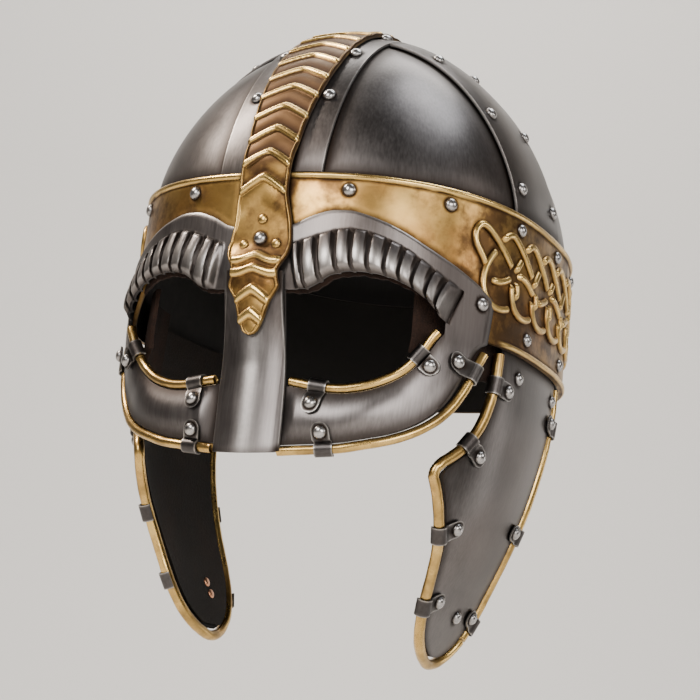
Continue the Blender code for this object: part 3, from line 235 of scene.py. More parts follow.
@dataclass(frozen=True)
class HeadForm:
    """The form of the skull and the brow band, which the other pieces follow."""

    power: float = 2.4
    half: float = 108.0 * MM
    front: float = 109.0 * MM
    back: float = 139.5 * MM
    height: float = 72.0 * MM
    wall: float = 2.4 * MM
    flare_out: float = 1.5 * MM
    arch_rise: float = 29.0 * MM
    arch_outer: float = 101.0 * MM
    arch_inner: float = 64.0 * MM
    skull_rise: float = 103.0 * MM
    skull_round: float = 2.17
    skull_point: float = 1.58
    seam: float = 0.4 * MM
    strap_seat: float = 0.8 * MM
    strap_wall: float = 1.4 * MM
    plate_wall: float = 1.6 * MM
    keel_half: float = 28.5 * MM
    cross_half: float = 30.0 * MM
    cross_foot: float = -3.0 * MM
    cross_crown: float = -19.0 * MM
    crest_half: float = 13.4 * MM

    @property
    def tuck(self) -> float:
        """How far the skull plates sit inside the band's outer face."""
        return self.wall + self.seam

    def flare(self, height: Any) -> Array:
        """How far the band stands out below its upper rim."""
        return self.flare_out * np.clip(1.0 - np.asarray(height) / self.height, 0.0, 1.0)

    def arch(self, x: Any) -> Array:
        """Height of the band's lower edge in front."""
        return self.arch_rise * ease((self.arch_outer - np.abs(x)) / (self.arch_outer - self.arch_inner))

    def ring(self, turn: Array, height: Array, out: Array) -> Array:
        """Points on the band's outer face, by turn from the front.

        Args:
            turn: Turn from the front.
            height: Height over the lower rim.
            out: Distance outward.

        Returns:
            The points.
        """
        side, fore = np.sin(turn), np.cos(turn)
        power = 2.0 / self.power
        across = self.half + self.flare(height) + out
        deep = np.where(fore > 0.0, self.front, self.back) + self.flare(height) + out
        x = np.sign(side) * across * np.abs(side) ** power
        y = -np.sign(fore) * deep * np.abs(fore) ** power
        return np.stack(np.broadcast_arrays(x, y, height), axis=-1)

    def ring_table(self) -> tuple[Array, Array]:
        """Turn at each length walked round one side of the band from the front.

        Returns:
            Lengths and the turns there.
        """
        turn = np.linspace(0.0, math.pi, 2881)
        line = self.ring(turn, np.full_like(turn, self.height / 2.0), np.zeros_like(turn))
        steps = np.linalg.norm(np.diff(line, axis=0), axis=1)
        return np.concatenate(([0.0], np.cumsum(steps))), turn

    def ring_at(self, length: Array, height: Array, out: Array) -> Array:
        """Points on the band at a signed length walked round it from the front.

        Args:
            length: Length round the band, left positive.
            height: Height over the lower rim.
            out: Distance outward.

        Returns:
            The points.
        """
        lengths, turns = self.ring_table()
        turn = np.interp(np.abs(length), lengths, turns)
        points = self.ring(turn, np.asarray(height, dtype=float), out)
        points[..., 0] *= np.where(np.asarray(length) < 0.0, -1.0, 1.0)
        return points

    def level(self, x: Array, y: Array, out: Array) -> Array:
        """Share of the skull's rim outline through a point seen from above.

        Args:
            x: Distance to the left of the middle.
            y: Distance behind the middle.
            out: Distance outward.

        Returns:
            The share, 1 on the outline.
        """
        deep = np.where(np.asarray(y) < 0.0, self.front, self.back) - self.tuck + out
        half = self.half - self.tuck + out
        return ((np.abs(x) / half) ** self.power + (np.abs(y) / deep) ** self.power) ** (1.0 / self.power)

    def over(self, x: Array, y: Array, out: Array) -> Array:
        """Height of the skull over a point seen from above.

        Args:
            x: Distance to the left of the middle.
            y: Distance behind the middle.
            out: Distance outward.

        Returns:
            The heights.
        """
        level = np.minimum(self.level(x, y, out), 1.0)
        rise = (1.0 - level ** self.skull_round) ** (1.0 / self.skull_point)
        return self.height + (self.skull_rise + out) * rise

    def cast(self, along: Callable[[Array], Array], shape: Array, out: Array) -> Array:
        """Points where rays from inside meet the skull pushed outward.

        Args:
            along: Gives the points at a reach along each ray.
            shape: An array with one number a ray.
            out: Distance outward.

        Returns:
            The points.
        """
        low = np.zeros_like(shape)
        high = np.full_like(shape, 2.0 * self.back)
        for _ in range(40):
            middle = (low + high) / 2.0
            place = along(middle)
            level = self.level(place[..., 0], place[..., 1], out)
            rise = np.maximum((place[..., 2] - self.height) / (self.skull_rise + out), 0.0)
            outside = level ** self.skull_round + rise ** self.skull_point > 1.0
            high = np.where(outside, middle, high)
            low = np.where(outside, low, middle)
        return along((low + high) / 2.0)

    def keel(self, x: Array, turn: Array, out: Array) -> Array:
        """Points over the skull beside the keel by turn from upright, front positive.

        Args:
            x: Distance to the left of the middle.
            turn: Turn from upright, front positive.
            out: Distance outward.

        Returns:
            The points.
        """
        x, turn, out = alike(x, turn, out)

        def along(reach: Array) -> Array:
            """Points at a reach along each ray."""
            return np.stack((x, -reach * np.sin(turn), self.height + reach * np.cos(turn)), axis=-1)

        return self.cast(along, x, out)

    def cross_middle(self, height: Array) -> Array:
        """Fore and aft place of the cross band's middle by height."""
        share = np.minimum((height - self.height) / self.skull_rise, 1.0)
        return self.cross_foot + (self.cross_crown - self.cross_foot) * share

    def cross(self, beside: Array, turn: Array, out: Array, side: float) -> Array:
        """Points on the cross band behind its middle by turn from upright.

        Args:
            beside: Distance behind the band's middle.
            turn: Turn from upright toward the side.
            out: Distance outward.
            side: 1 on the left, -1 on the right.

        Returns:
            The points.
        """
        beside, turn, out = alike(beside, turn, out)

        def along(reach: Array) -> Array:
            """Points at a reach along each ray."""
            height = self.height + reach * np.cos(turn)
            return np.stack((reach * np.sin(turn), self.cross_middle(height) + beside, height), axis=-1)

        points = self.cast(along, beside, out)
        points[..., 0] *= side
        return points


@dataclass(frozen=True)
class FaceForm:
    """The form of the mask, the nasal and the cheek plates."""

    head: HeadForm = HeadForm()
    mask_half: float = 101.0 * MM
    mask_wall: float = 1.8 * MM
    mask_seat: float = 0.5 * MM
    mask_rise: float = 52.0 * MM
    flute_rise: float = 43.0 * MM
    eye_rise: float = 22.0 * MM
    eye_drop: float = 38.0 * MM
    mask_drop: float = 65.0 * MM
    lean_depth: float = 12.0 * MM
    lean_start: float = 3.0 * MM
    lean_span: float = 60.0 * MM
    swell_out: float = 3.0 * MM
    swell_start: float = 9.0 * MM
    nasal_half: float = 17.5 * MM
    nasal_rise: float = 7.0 * MM
    nasal_rise_top: float = 2.0 * MM
    nasal_top: float = 20.0 * MM
    nasal_drop: float = 68.5 * MM
    cheek_length: float = 157.5 * MM
    cheek_reach: float = 60.0 * MM
    cheek_taper: float = 42.5 * MM
    cheek_taper_power: float = 1.7
    cheek_curl: float = 13.0 * MM
    cheek_belly: float = 3.0 * MM
    cheek_wall: float = 1.6 * MM
    right_lift: float = 5.0 * MM
    hinge_places: tuple[float, float] = (-15.0 * MM, 43.0 * MM)
    top_edge: Table = (
        (0.00, 0.79), (0.18, 0.84), (0.26, 0.93), (0.36, 1.00), (0.47, 1.01), (0.55, 0.97), (0.63, 0.92),
        (0.71, 0.85), (0.78, 0.77), (0.85, 0.69), (0.91, 0.62), (0.97, 0.52), (1.00, 0.42))
    flute_edge: Table = (
        (0.00, 0.72), (0.20, 0.81), (0.31, 0.905), (0.40, 0.98), (0.47, 1.01), (0.56, 0.99), (0.645, 0.925),
        (0.71, 0.86), (0.77, 0.765), (0.83, 0.665), (0.88, 0.58), (0.937, 0.50), (1.00, 0.38))
    eye_top_edge: Table = (
        (0.00, 0.53), (0.20, 0.54), (0.28, 0.55), (0.31, 0.58), (0.34, 0.69), (0.375, 0.82), (0.43, 0.935),
        (0.49, 0.99), (0.57, 1.00), (0.645, 0.965), (0.71, 0.88), (0.767, 0.745), (0.825, 0.55),
        (0.868, 0.36), (0.893, 0.03), (1.00, 0.20))
    eye_low_edge: Table = (
        (0.00, 0.90), (0.17, 0.91), (0.26, 0.945), (0.36, 0.985), (0.46, 0.985), (0.52, 0.955),
        (0.58, 0.91), (0.64, 0.84), (0.70, 0.735), (0.736, 0.67), (0.80, 0.475), (0.838, 0.33),
        (0.87, 0.17), (0.893, 0.00), (1.00, -0.116))
    low_edge: Table = (
        (0.00, 0.995), (0.16, 0.99), (0.36, 0.96), (0.474, 0.938), (0.55, 0.906), (0.61, 0.877),
        (0.666, 0.85), (0.722, 0.81), (0.775, 0.76), (0.827, 0.69), (0.875, 0.60), (0.914, 0.495),
        (0.942, 0.38), (0.963, 0.265), (0.983, 0.114), (1.00, -0.05))

    def edge(self, table: Table, x: Any, size: float) -> Array:
        """Height of one of the mask's edges at a distance from the middle, its corners rounded.

        Args:
            table: Places and heights, as shares.
            x: Distance to the left of the middle.
            size: Height that a share of 1 stands for.

        Returns:
            The heights.
        """
        share = np.abs(np.asarray(x, dtype=float)) / self.mask_half
        offsets = (-0.03, -0.015, 0.0, 0.015, 0.03)
        return size * sum(between(np.abs(share + shift), table) for shift in offsets) / len(offsets)

    def lean(self, x: Array, height: Array) -> Array:
        """How far the mask leans back toward the face below the band's lower edge."""
        return self.lean_depth * ease((self.head.arch(x) + self.lean_start - height) / self.lean_span)

    def mask(self, x: Array, height: Array, out: Array) -> Array:
        """Points on the face side, pushed outward from the band's face.

        Args:
            x: Distance to the left of the middle.
            height: Height over the lower rim.
            out: Distance outward.

        Returns:
            The points.
        """
        head = self.head
        half = head.half + head.flare_out + out
        deep = head.front + head.flare(height) + out - self.lean(x, height)
        share = np.minimum(np.abs(x) / half, 1.0)
        y = -deep * (1.0 - share ** head.power) ** (1.0 / head.power)
        return np.stack(np.broadcast_arrays(x, y, height), axis=-1)

    def swell(self, x: Array, height: Array) -> Array:
        """How far the mask swells out between its eye opening and its lower edge.

        Args:
            x: Distance to the left of the middle.
            height: Height over the lower rim.

        Returns:
            The distance outward.
        """
        high = self.edge(self.eye_low_edge, x, -self.eye_drop)
        low = self.edge(self.low_edge, x, -self.mask_drop)
        down = np.clip((high - height) / np.maximum(high - low, 1e-6), 0.0, 1.0)
        beside = ease((np.abs(x) - self.nasal_half - self.head.seam) / self.swell_start)
        beside = beside * ease((0.93 * self.mask_half - np.abs(x)) / (4.0 * self.swell_start))
        return self.swell_out * np.sin(math.pi * down) * beside * ease((high - low) / self.swell_start / 2.0)

    def nasal(self, x: Array, height: Array, out: Array) -> Array:
        """Points on the nasal's inner face, pushed outward.

        Args:
            x: Distance to the left of the middle.
            height: Height over the lower rim.
            out: Distance outward.

        Returns:
            The points.
        """
        share = np.clip((self.nasal_top - height) / self.nasal_drop, 0.0, 1.0)
        rise = self.nasal_rise_top + (self.nasal_rise - self.nasal_rise_top) * ease(1.6 * share)
        base = self.mask(x, height, self.mask_seat + self.mask_wall + self.head.strap_seat)
        bow = rise * np.maximum(1.0 - (x / self.nasal_half) ** 2, 0.0)
        base[..., 1] -= bow + out
        return base

    def cheek(self, y: Array, height: Array, out: Array, side: float) -> Array:
        """Points on a cheek plate's outer face by fore and aft place and height.

        Args:
            y: Distance behind the middle.
            height: Height over the lower rim.
            out: Distance outward.
            side: 1 on the left, -1 on the right.

        Returns:
            The points.
        """
        head = self.head
        fall = np.clip(-height / self.cheek_length, 0.0, 1.0)
        belly = self.cheek_belly * np.sin(math.pi * np.minimum(fall / 0.75, 1.0))
        seat = head.flare(np.maximum(height, 0.0)) - head.wall - self.mask_seat
        half = head.half + seat + belly - self.cheek_taper * fall ** self.cheek_taper_power + out
        curl = self.cheek_curl * ease(-height / self.cheek_reach)
        deep = np.where(y < 0.0, head.front + seat - curl + out, head.back + seat + out)
        share = np.minimum(np.abs(y) / deep, 1.0)
        x = half * (1.0 - share ** head.power) ** (1.0 / head.power)
        return np.stack(np.broadcast_arrays(side * x, y, height), axis=-1)


class Shell:
    """Points, faces and tones of one mesh while it is put together.

    A tone has four parts: painted shade, with some dirt, in hollows, creases and beside raised
    parts; wear on edges, which on the mask's pleats and the nasal also carries a painted highlight;
    whether a point lies inside the helmet, where it is painted very dark as painted shade; and how
    much brown patina it has.
    """

    def __init__(self) -> None:
        """Start empty."""
        self.points: list[Array] = []
        self.tones: list[Array] = []
        self.faces: list[tuple[int, ...]] = []
        self.count = 0

    def add(self, points: Array, tones: Array, faces: list[tuple[int, ...]]) -> None:
        """Add points with their tones, and faces that count from the first of them.

        Args:
            points: The points.
            tones: A tone for each point.
            faces: Corners of each face.
        """
        start = self.count
        self.points.append(points.reshape(-1, 3))
        self.tones.append(tones.reshape(-1, 4))
        self.faces += [tuple(corner + start for corner in face) for face in faces]
        self.count += points.reshape(-1, 3).shape[0]

    def wall(self, outer: Array, inner: Array, tone: Array, skip: Array | None = None,
             patina: Array | float = 0.0) -> None:
        """Add a closed wall between an outer and an inner grid.

        Args:
            outer: Outer points, rows by columns by 3.
            inner: Inner points of the same shape.
            tone: Painted shade with some dirt, and wear, of the outer points, rows by columns by 2.
            skip: Cells to leave out, rows - 1 by columns - 1, or None.
            patina: Brown patina of the outer points, rows by columns, or one value.
        """
        rows, columns = outer.shape[:2]
        total = rows * columns
        index = np.arange(total).reshape(rows, columns)
        corners = np.stack((index[:-1, :-1], index[:-1, 1:], index[1:, 1:], index[1:, :-1]), axis=-1)
        corners = corners.reshape(-1, 4) if skip is None else corners[~skip]
        edges = np.concatenate([corners[:, [a, (a + 1) % 4]] for a in range(4)])
        back = {(int(b), int(a)) for a, b in edges}
        border = [(int(a), int(b)) for a, b in edges if (int(a), int(b)) not in back]
        faces = as_faces(corners) + as_faces(corners[:, ::-1] + total)
        faces += [(b, a, a + total, b + total) for a, b in border]
        outside = np.concatenate((tone, np.zeros((rows, columns, 2))), axis=-1)
        outside[..., 3] = patina
        inside = np.zeros((rows, columns, 4))
        # Inner faces are flagged so that the finishes paint them very dark as painted shade.
        inside[..., 2] = 1.0
        self.add(np.concatenate((outer.reshape(-1, 3), inner.reshape(-1, 3))),
                 np.concatenate((outside.reshape(-1, 4), inside.reshape(-1, 4))), faces)

    def dome(self, centre: Array, normal: Array, radius: float, rise: float) -> None:
        """Add one round rivet head standing on a surface.

        Args:
            centre: Middle of its foot.
            normal: Direction that it stands in.
            radius: Its radius.
            rise: How far it stands out.
        """
        side = np.cross(normal, (0.0, 0.0, 1.0))
        if np.linalg.norm(side) < 0.1:
            side = np.cross(normal, (1.0, 0.0, 0.0))
        side = unit(side)
        other = np.cross(normal, side)
        # The foot and lower sides of the head are painted dark as painted shade; its crown is lighter with
        # wear.
        profile = [(1.0, -0.4 * MM, 0.9), (1.0, 0.12 * rise, 0.6)]
        profile += [(math.cos(turn), rise * (0.12 + 0.88 * math.sin(turn)), 0.35 * math.cos(turn) ** 3)
                    for turn in (0.3, 0.6, 0.9, 1.2, 1.4)]
        around = np.linspace(0.0, 2.0 * math.pi, DOME_SIDES, endpoint=False)
        ring = np.cos(around)[:, None] * side + np.sin(around)[:, None] * other
        points = [centre + ring * radius * share + normal * lift for share, lift, _ in profile]
        tones = [np.tile((shade_and_grime, 0.6 * (1.0 - shade_and_grime), 0.0, 0.0), (DOME_SIDES, 1)) for _, _, shade_and_grime in profile]
        points.append((centre + normal * rise)[None])
        tones.append(np.array([(0.0, 0.6, 0.0, 0.0)]))
        last = (len(profile) - 1) * DOME_SIDES
        top = last + DOME_SIDES
        faces = as_faces(tube_faces(len(profile), DOME_SIDES))
        faces += [(last + step, last + (step + 1) % DOME_SIDES, top) for step in range(DOME_SIDES)]
        faces.append(tuple(reversed(range(DOME_SIDES))))
        self.add(np.concatenate(points), np.concatenate(tones), faces)

    def make(self, name: str, finish: Material, bevel: float = 0.0) -> bpy.types.Object:
        """Turn what was added into one smooth object.

        Args:
            name: Name of the piece.
            finish: Its material.
            bevel: Width of the rounding on sharp edges, or 0.

        Returns:
            The new object, riding on the helmet.
        """
        mesh = bpy.data.meshes.new(name)
        mesh.from_pydata(np.concatenate(self.points).tolist(), [], self.faces)
        tone = mesh.attributes.new(TONE, "FLOAT_COLOR", "POINT")
        shares = np.clip(np.concatenate(self.tones), 0.0, 1.0)
        tone.data.foreach_set("color", shares.astype(np.float32).ravel())
        mesh.validate()
        mesh.shade_smooth()
        mesh.set_sharp_from_angle(angle=SHARP)
        mesh.materials.append(finish)
        piece = bpy.data.objects.new(name, mesh)
        bpy.context.scene.collection.objects.link(piece)
        if bevel > 0.0:
            rounding = piece.modifiers.new("rounding", "BEVEL")
            rounding.width = bevel
            rounding.segments = 2
            rounding.limit_method = "ANGLE"
            rounding.angle_limit = SHARP
            rounding.harden_normals = True
        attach(piece, BODY)
        log.info("%s: %d points", name, self.count)
        return piece


class Wire:
    """A shader socket that can be reckoned with like a number."""

    def __init__(self, graph: "Graph", socket: bpy.types.NodeSocket) -> None:
        """Keep the socket and the graph that it is in."""
        self.graph = graph
        self.socket = socket

    def _math(self, operation: str, *values: Any) -> "Wire":
        """Add one Math node over this wire's graph."""
        return self.graph.node("ShaderNodeMath", {"operation": operation}, dict(enumerate(values)))

    def __add__(self, other: Any) -> "Wire":
        """Sum."""
        return self._math("ADD", self, other)

    __radd__ = __add__

    def __mul__(self, other: Any) -> "Wire":
        """Product."""
        return self._math("MULTIPLY", self, other)

    __rmul__ = __mul__

    def __sub__(self, other: Any) -> "Wire":
        """Difference."""
        return self._math("SUBTRACT", self, other)

    def __rsub__(self, other: Any) -> "Wire":
        """Difference the other way round."""
        return self._math("SUBTRACT", other, self)

    def ramp(self, low: float, high: float) -> "Wire":
        """Ease from 0 at low to 1 at high."""
        return self.graph.node("ShaderNodeMapRange", {"interpolation_type": "SMOOTHSTEP"},
                               {0: self, 1: low, 2: high, 3: 0.0, 4: 1.0})


class Graph:
    """The nodes of one material."""

    def __init__(self, name: str) -> None:
        """Make a material with one Principled shader.

        Args:
            name: Name of the material.
        """
        self.material = bpy.data.materials.new(name)
        self.material.use_nodes = True
        self.tree = self.material.node_tree
        self.shader = self.tree.nodes["Principled BSDF"]

    def node(self, kind: str, settings: dict[str, Any] | None = None,
             sockets: dict[Any, Any] | None = None, out: Any = 0) -> Wire:
        """Add one node.

        Args:
            kind: The node's type.
            settings: Properties, which are set before the sockets.
            sockets: Values or wires by socket name or number.
            out: The output to return, by name or number.

        Returns:
            The chosen output.
        """
        made = self.tree.nodes.new(kind)
        for key, value in (settings or {}).items():
            setattr(made, key, value)
        for key, value in (sockets or {}).items():
            self.feed(made.inputs[key], value)
        return Wire(self, made.outputs[out])

    def feed(self, socket: bpy.types.NodeSocket, value: Any) -> None:
        """Give a socket a value or a wire.

        Args:
            socket: The socket.
            value: A number, a colour or a wire.
        """
        if isinstance(value, Wire):
            self.tree.links.new(value.socket, socket)
        elif isinstance(value, tuple) and len(value) == 3 and socket.type == "RGBA":
            socket.default_value = (*value, 1.0)
        else:
            socket.default_value = value

    def mix(self, share: Any, low: Any, high: Any) -> Wire:
        """Blend two colours."""
        return self.node("ShaderNodeMix", {"data_type": "RGBA"}, {0: share, 6: low, 7: high}, 2)

    def noise(self, where: Wire, scale: float, detail: float = 3.0, rough: float = 0.55) -> Wire:
        """Grey noise over a place."""
        return self.node("ShaderNodeTexNoise", {}, {"Vector": where, "Scale": scale, "Detail": detail,
                                                    "Roughness": rough}, "Fac")

    def place(self, stretch: Triple = (1.0, 1.0, 1.0)) -> Wire:
        """Place on the object, stretched along its axes."""
        here = self.node("ShaderNodeTexCoord", out="Object")
        return self.node("ShaderNodeVectorMath", {"operation": "MULTIPLY"}, {0: here, 1: stretch})

    def tones(self) -> tuple[Wire, Wire, Wire]:
        """Painted shade with some dirt, wear, and insideness that the mesh carries; insideness paints inner
        faces dark as painted shade.

        Returns:
            The three wires.
        """
        tone = self.node("ShaderNodeAttribute", {"attribute_name": TONE}, out="Color")
        parts = self.node("ShaderNodeSeparateColor", {}, {0: tone})
        outputs = parts.socket.node.outputs
        return parts, Wire(self, outputs[1]), Wire(self, outputs[2])

    def patina(self) -> Wire:
        """How brown the mesh says the metal is."""
        return self.node("ShaderNodeAttribute", {"attribute_name": TONE}, out="Alpha")

    def finish(self, colour: Any, roughness: Any, metallic: Any, height: Wire | None = None,
               depth: float = 0.0002, strength: float = 0.5) -> Material:
        """Feed the shader and return the material.

        Args:
            colour: Base colour.
            roughness: Roughness.
            metallic: How metallic it is.
            height: Height of the bumps, or None.
            depth: Depth of the bumps in metres.
            strength: Strength of the bumps.

        Returns:
            The finished material.
        """
        self.feed(self.shader.inputs["Base Color"], colour)
        self.feed(self.shader.inputs["Roughness"], roughness)
        self.feed(self.shader.inputs["Metallic"], metallic)
        if height is not None:
            sockets = {"Strength": strength, "Distance": depth, "Height": height}
            bump_node = self.node("ShaderNodeBump", {}, sockets)
            self.feed(self.shader.inputs["Normal"], bump_node)
        return self.material


@dataclass(frozen=True)
class SteelFinish:
    """Dark brushed steel with bright worn edges, painted shade with some dirt in its hollows and beside
    raised parts, and inner faces painted very dark as painted shade.
    """

    name: str = "dark_steel"
    dark: Triple = (0.064, 0.058, 0.056)
    light: Triple = (0.160, 0.147, 0.144)
    soot: Triple = (0.020, 0.014, 0.011)
    worn: Triple = (0.52, 0.49, 0.47)
    warm: Triple = (0.135, 0.098, 0.080)
    painted_inner_shade: Triple = (0.0025, 0.002, 0.002)
    roughness: float = 0.34
    grain: Triple = (900.0, 900.0, 60.0)

    def dress(self) -> Material:
        """Make the material.

        Returns:
            The material.
        """
        graph = Graph(self.name)
        shade_and_grime, wear, inside = graph.tones()
        here = graph.place()
        cloud = graph.noise(here, 22.0, 4.0)
        speck = graph.noise(here, 420.0, 3.0)
        brushed = graph.noise(graph.place(self.grain), 1.0, 2.0)
        tint = (cloud * 0.75 + brushed * 0.35 - 0.1).ramp(0.2, 0.8)
        colour = graph.mix(tint, self.dark, self.light)
        warm = (graph.noise(here, 9.0, 2.0)).ramp(0.45, 0.75) * 0.35
        colour = graph.mix(warm, colour, self.warm)
        colour = graph.mix(wear * (speck * 0.6 + 0.4), colour, self.worn)
        # Painted shade with some dirt, darkening hollows, creases and spots beside raised parts.
        colour = graph.mix((shade_and_grime * (cloud * 0.5 + 0.72)).ramp(0.0, 1.0), colour, self.soot)
        # Inner faces painted very dark as painted shade.
        colour = graph.mix(inside, colour, self.painted_inner_shade)
        rough = cloud * 0.14 + brushed * 0.10 + (self.roughness - 0.12) + shade_and_grime * 0.22 + inside * 0.4
        metal = 1.0 - inside * 0.8
        return graph.finish(colour, rough, metal, brushed * 0.5 + speck * 0.5, 0.00012, 0.35)


@dataclass(frozen=True)
class BrassFinish:
    """Antique brass, brown in its hollows and polished on its ridges, with painted shade and some dirt in
    hollows and beside raised parts, and inner faces painted very dark as painted shade.
    """

    name: str = "antique_brass"
    gold: Triple = (0.43, 0.245, 0.066)
    pale: Triple = (0.77, 0.535, 0.185)
    amber: Triple = (0.36, 0.145, 0.045)
    brown: Triple = (0.078, 0.042, 0.017)
    soot: Triple = (0.030, 0.014, 0.007)
    roughness: float = 0.33
    mottle: float = 1.0

    def dress(self) -> Material:
        """Make the material.

        Returns:
            The material.
        """
        graph = Graph(self.name)
        shade_and_grime, wear, inside = graph.tones()
        here = graph.place()
        cloud = graph.noise(here, 26.0, 5.0, 0.6)
        patch = graph.noise(here, 70.0, 4.0, 0.65)
        speck = graph.noise(here, 520.0, 3.0)
        stain = (cloud * 0.7 + patch * 0.5 - 0.16).ramp(0.34, 0.62) * (0.72 * self.mottle)
        patina = (stain + graph.patina() * (patch * 0.5 + 0.70)).ramp(0.0, 1.0)
        flush = graph.noise(here, 14.0, 3.0, 0.6).ramp(0.50, 0.70) * (0.6 * self.mottle)
        colour = graph.mix(flush, self.gold, self.amber)
        sheen = (cloud * -0.8 + 1.0).ramp(0.5, 0.8) * 0.45
        colour = graph.mix(sheen, colour, self.pale)
        colour = graph.mix(patina, colour, self.brown)
        colour = graph.mix(wear * (speck * 0.4 + 0.6), colour, self.pale)
        # Painted shade with some dirt, darkening hollows and spots beside raised parts.
        colour = graph.mix((shade_and_grime * (patch * 0.6 + 0.6)).ramp(0.0, 1.0), colour, self.soot)
        # Inner faces painted very dark as painted shade.
        colour = graph.mix(inside, colour, (0.003, 0.002, 0.0015))
        rough = patina * 0.12 + speck * 0.08 + (self.roughness - 0.08) + shade_and_grime * 0.25
        rough = rough - wear * 0.06 + inside * 0.4
        return graph.finish(colour, rough, 1.0 - inside * 0.8, patch * 0.6 + speck * 0.4, 0.00016, 0.35)


@dataclass(frozen=True)
class LeatherFinish:
    """Very dark brown leather with a rough flesh side."""

    name: str = "dark_leather"
    dark: Triple = (0.003, 0.002, 0.0015)
    light: Triple = (0.014, 0.008, 0.005)
    roughness: float = 0.75

    def dress(self) -> Material:
        """Make the material.

        Returns:
            The material.
        """
        graph = Graph(self.name)
        here = graph.place()
        cloud = graph.noise(here, 35.0, 5.0, 0.7)
        fibre = graph.noise(here, 900.0, 4.0, 0.7)
        crease = graph.node("ShaderNodeTexVoronoi", {"feature": "DISTANCE_TO_EDGE"},
                            {"Vector": here, "Scale": 420.0}, "Distance")
        grain = crease.ramp(0.0, 0.12)
        colour = graph.mix((cloud * 0.8 + fibre * 0.4 - 0.1).ramp(0.3, 0.85), self.dark, self.light)
        rough = cloud * 0.15 + (self.roughness - 0.08)
        graph.feed(graph.shader.inputs["Specular IOR Level"], 0.2)
        return graph.finish(colour, rough, 0.0, grain * 0.5 + fibre * 0.5, 0.0004, 0.6)


@dataclass(frozen=True)
class FloorFinish:
    """A plain pale studio floor."""

    name: str = "pale_floor"
    colour: Triple = (0.80, 0.78, 0.75)

    def dress(self) -> Material:
        """Make the material.

        Returns:
            The material.
        """
        graph = Graph(self.name)
        cloud = graph.noise(graph.place(), 3.0, 2.0)
        return graph.finish(self.colour, cloud * 0.1 + 0.8, 0.0)


def dressed(kind: Callable[..., Any], **looks: Any) -> Any:
    """A field that holds one material, made of a finish with its own looks."""
    return field(default_factory=lambda: kind(**looks).dress())


@dataclass(frozen=True)
class Finishes:
    """One material of each finish, shared by the pieces."""

    steel: Material = dressed(SteelFinish)
    mask: Material = dressed(
        SteelFinish, name="mask_steel", dark=(0.098, 0.088, 0.086), light=(0.225, 0.208, 0.204),
        worn=(0.66, 0.63, 0.60), roughness=0.35)
    rivet: Material = dressed(
        SteelFinish, name="bright_rivet_steel", dark=(0.15, 0.145, 0.145), light=(0.27, 0.26, 0.26),
        worn=(0.66, 0.64, 0.62), roughness=0.25, grain=(300.0, 300.0, 300.0))
    clip: Material = dressed(
        SteelFinish, name="blackened_clip_steel", dark=(0.045, 0.041, 0.040), light=(0.105, 0.098, 0.096),
        worn=(0.42, 0.40, 0.38), roughness=0.33, grain=(400.0, 400.0, 400.0))
    brass: Material = dressed(BrassFinish)
    tube: Material = dressed(
        BrassFinish, name="tube_brass", gold=(0.52, 0.32, 0.095), pale=(0.84, 0.61, 0.23), mottle=0.8,
        roughness=0.30)
    leather: Material = dressed(LeatherFinish)
    suede: Material = dressed(
        LeatherFinish, name="brown_suede", dark=(0.006, 0.003, 0.002), light=(0.028, 0.013, 0.008),
        roughness=0.9)
    copper: Material = dressed(
        BrassFinish, name="copper_rivet_back", gold=(0.62, 0.25, 0.12), pale=(0.85, 0.50, 0.33),
        amber=(0.50, 0.18, 0.09), mottle=0.6)


@dataclass
class Rivets:
    """Round steel rivet heads on one piece, made as one object."""

    name: str
    slot: str
    radius: float = 3.4 * MM
    rise: float = 2.7 * MM
    centres: list[Array] = field(default_factory=list)
    normals: list[Array] = field(default_factory=list)

    def set(self, surface: Surface, first: float, second: float) -> None:
        """Place one rivet on a surface."""
        self.centres.append(surface(np.array(first), np.array(second), np.array(0.0)))
        self.normals.append(normal_at(surface, first, second))

    def shade(self, points: Array, reach: float = 1.75) -> Array:
        """Painted shade round the rivets at each point, 1 at their rims and 0 away from them.

        Args:
            points: The points.
            reach: Where the painted shade ends, in radii.

        Returns:
            Painted shade from 0 to 1.
        """
        shade_and_grime = np.zeros(points.shape[:-1])
        for centre in self.centres:
            far = np.linalg.norm(points - centre, axis=-1) / self.radius
            shade_and_grime = np.maximum(shade_and_grime, fading(far - 1.0, reach - 1.0))
        return shade_and_grime

    def build(self, finish: Material) -> None:
        """Make the heads.

        Args:
            finish: The material.
        """
        shell = Shell()
        for centre, normal in zip(self.centres, self.normals):
            shell.dome(centre, normal, self.radius, self.rise)
        piece = shell.make(self.name, finish)


def tone_pair(shade_and_grime: Array, wear: Array | float = 0.0) -> Array:
    """Painted shade with some dirt, and wear, side by side, as a wall takes them."""
    return np.stack(np.broadcast_arrays(shade_and_grime, wear), axis=-1)


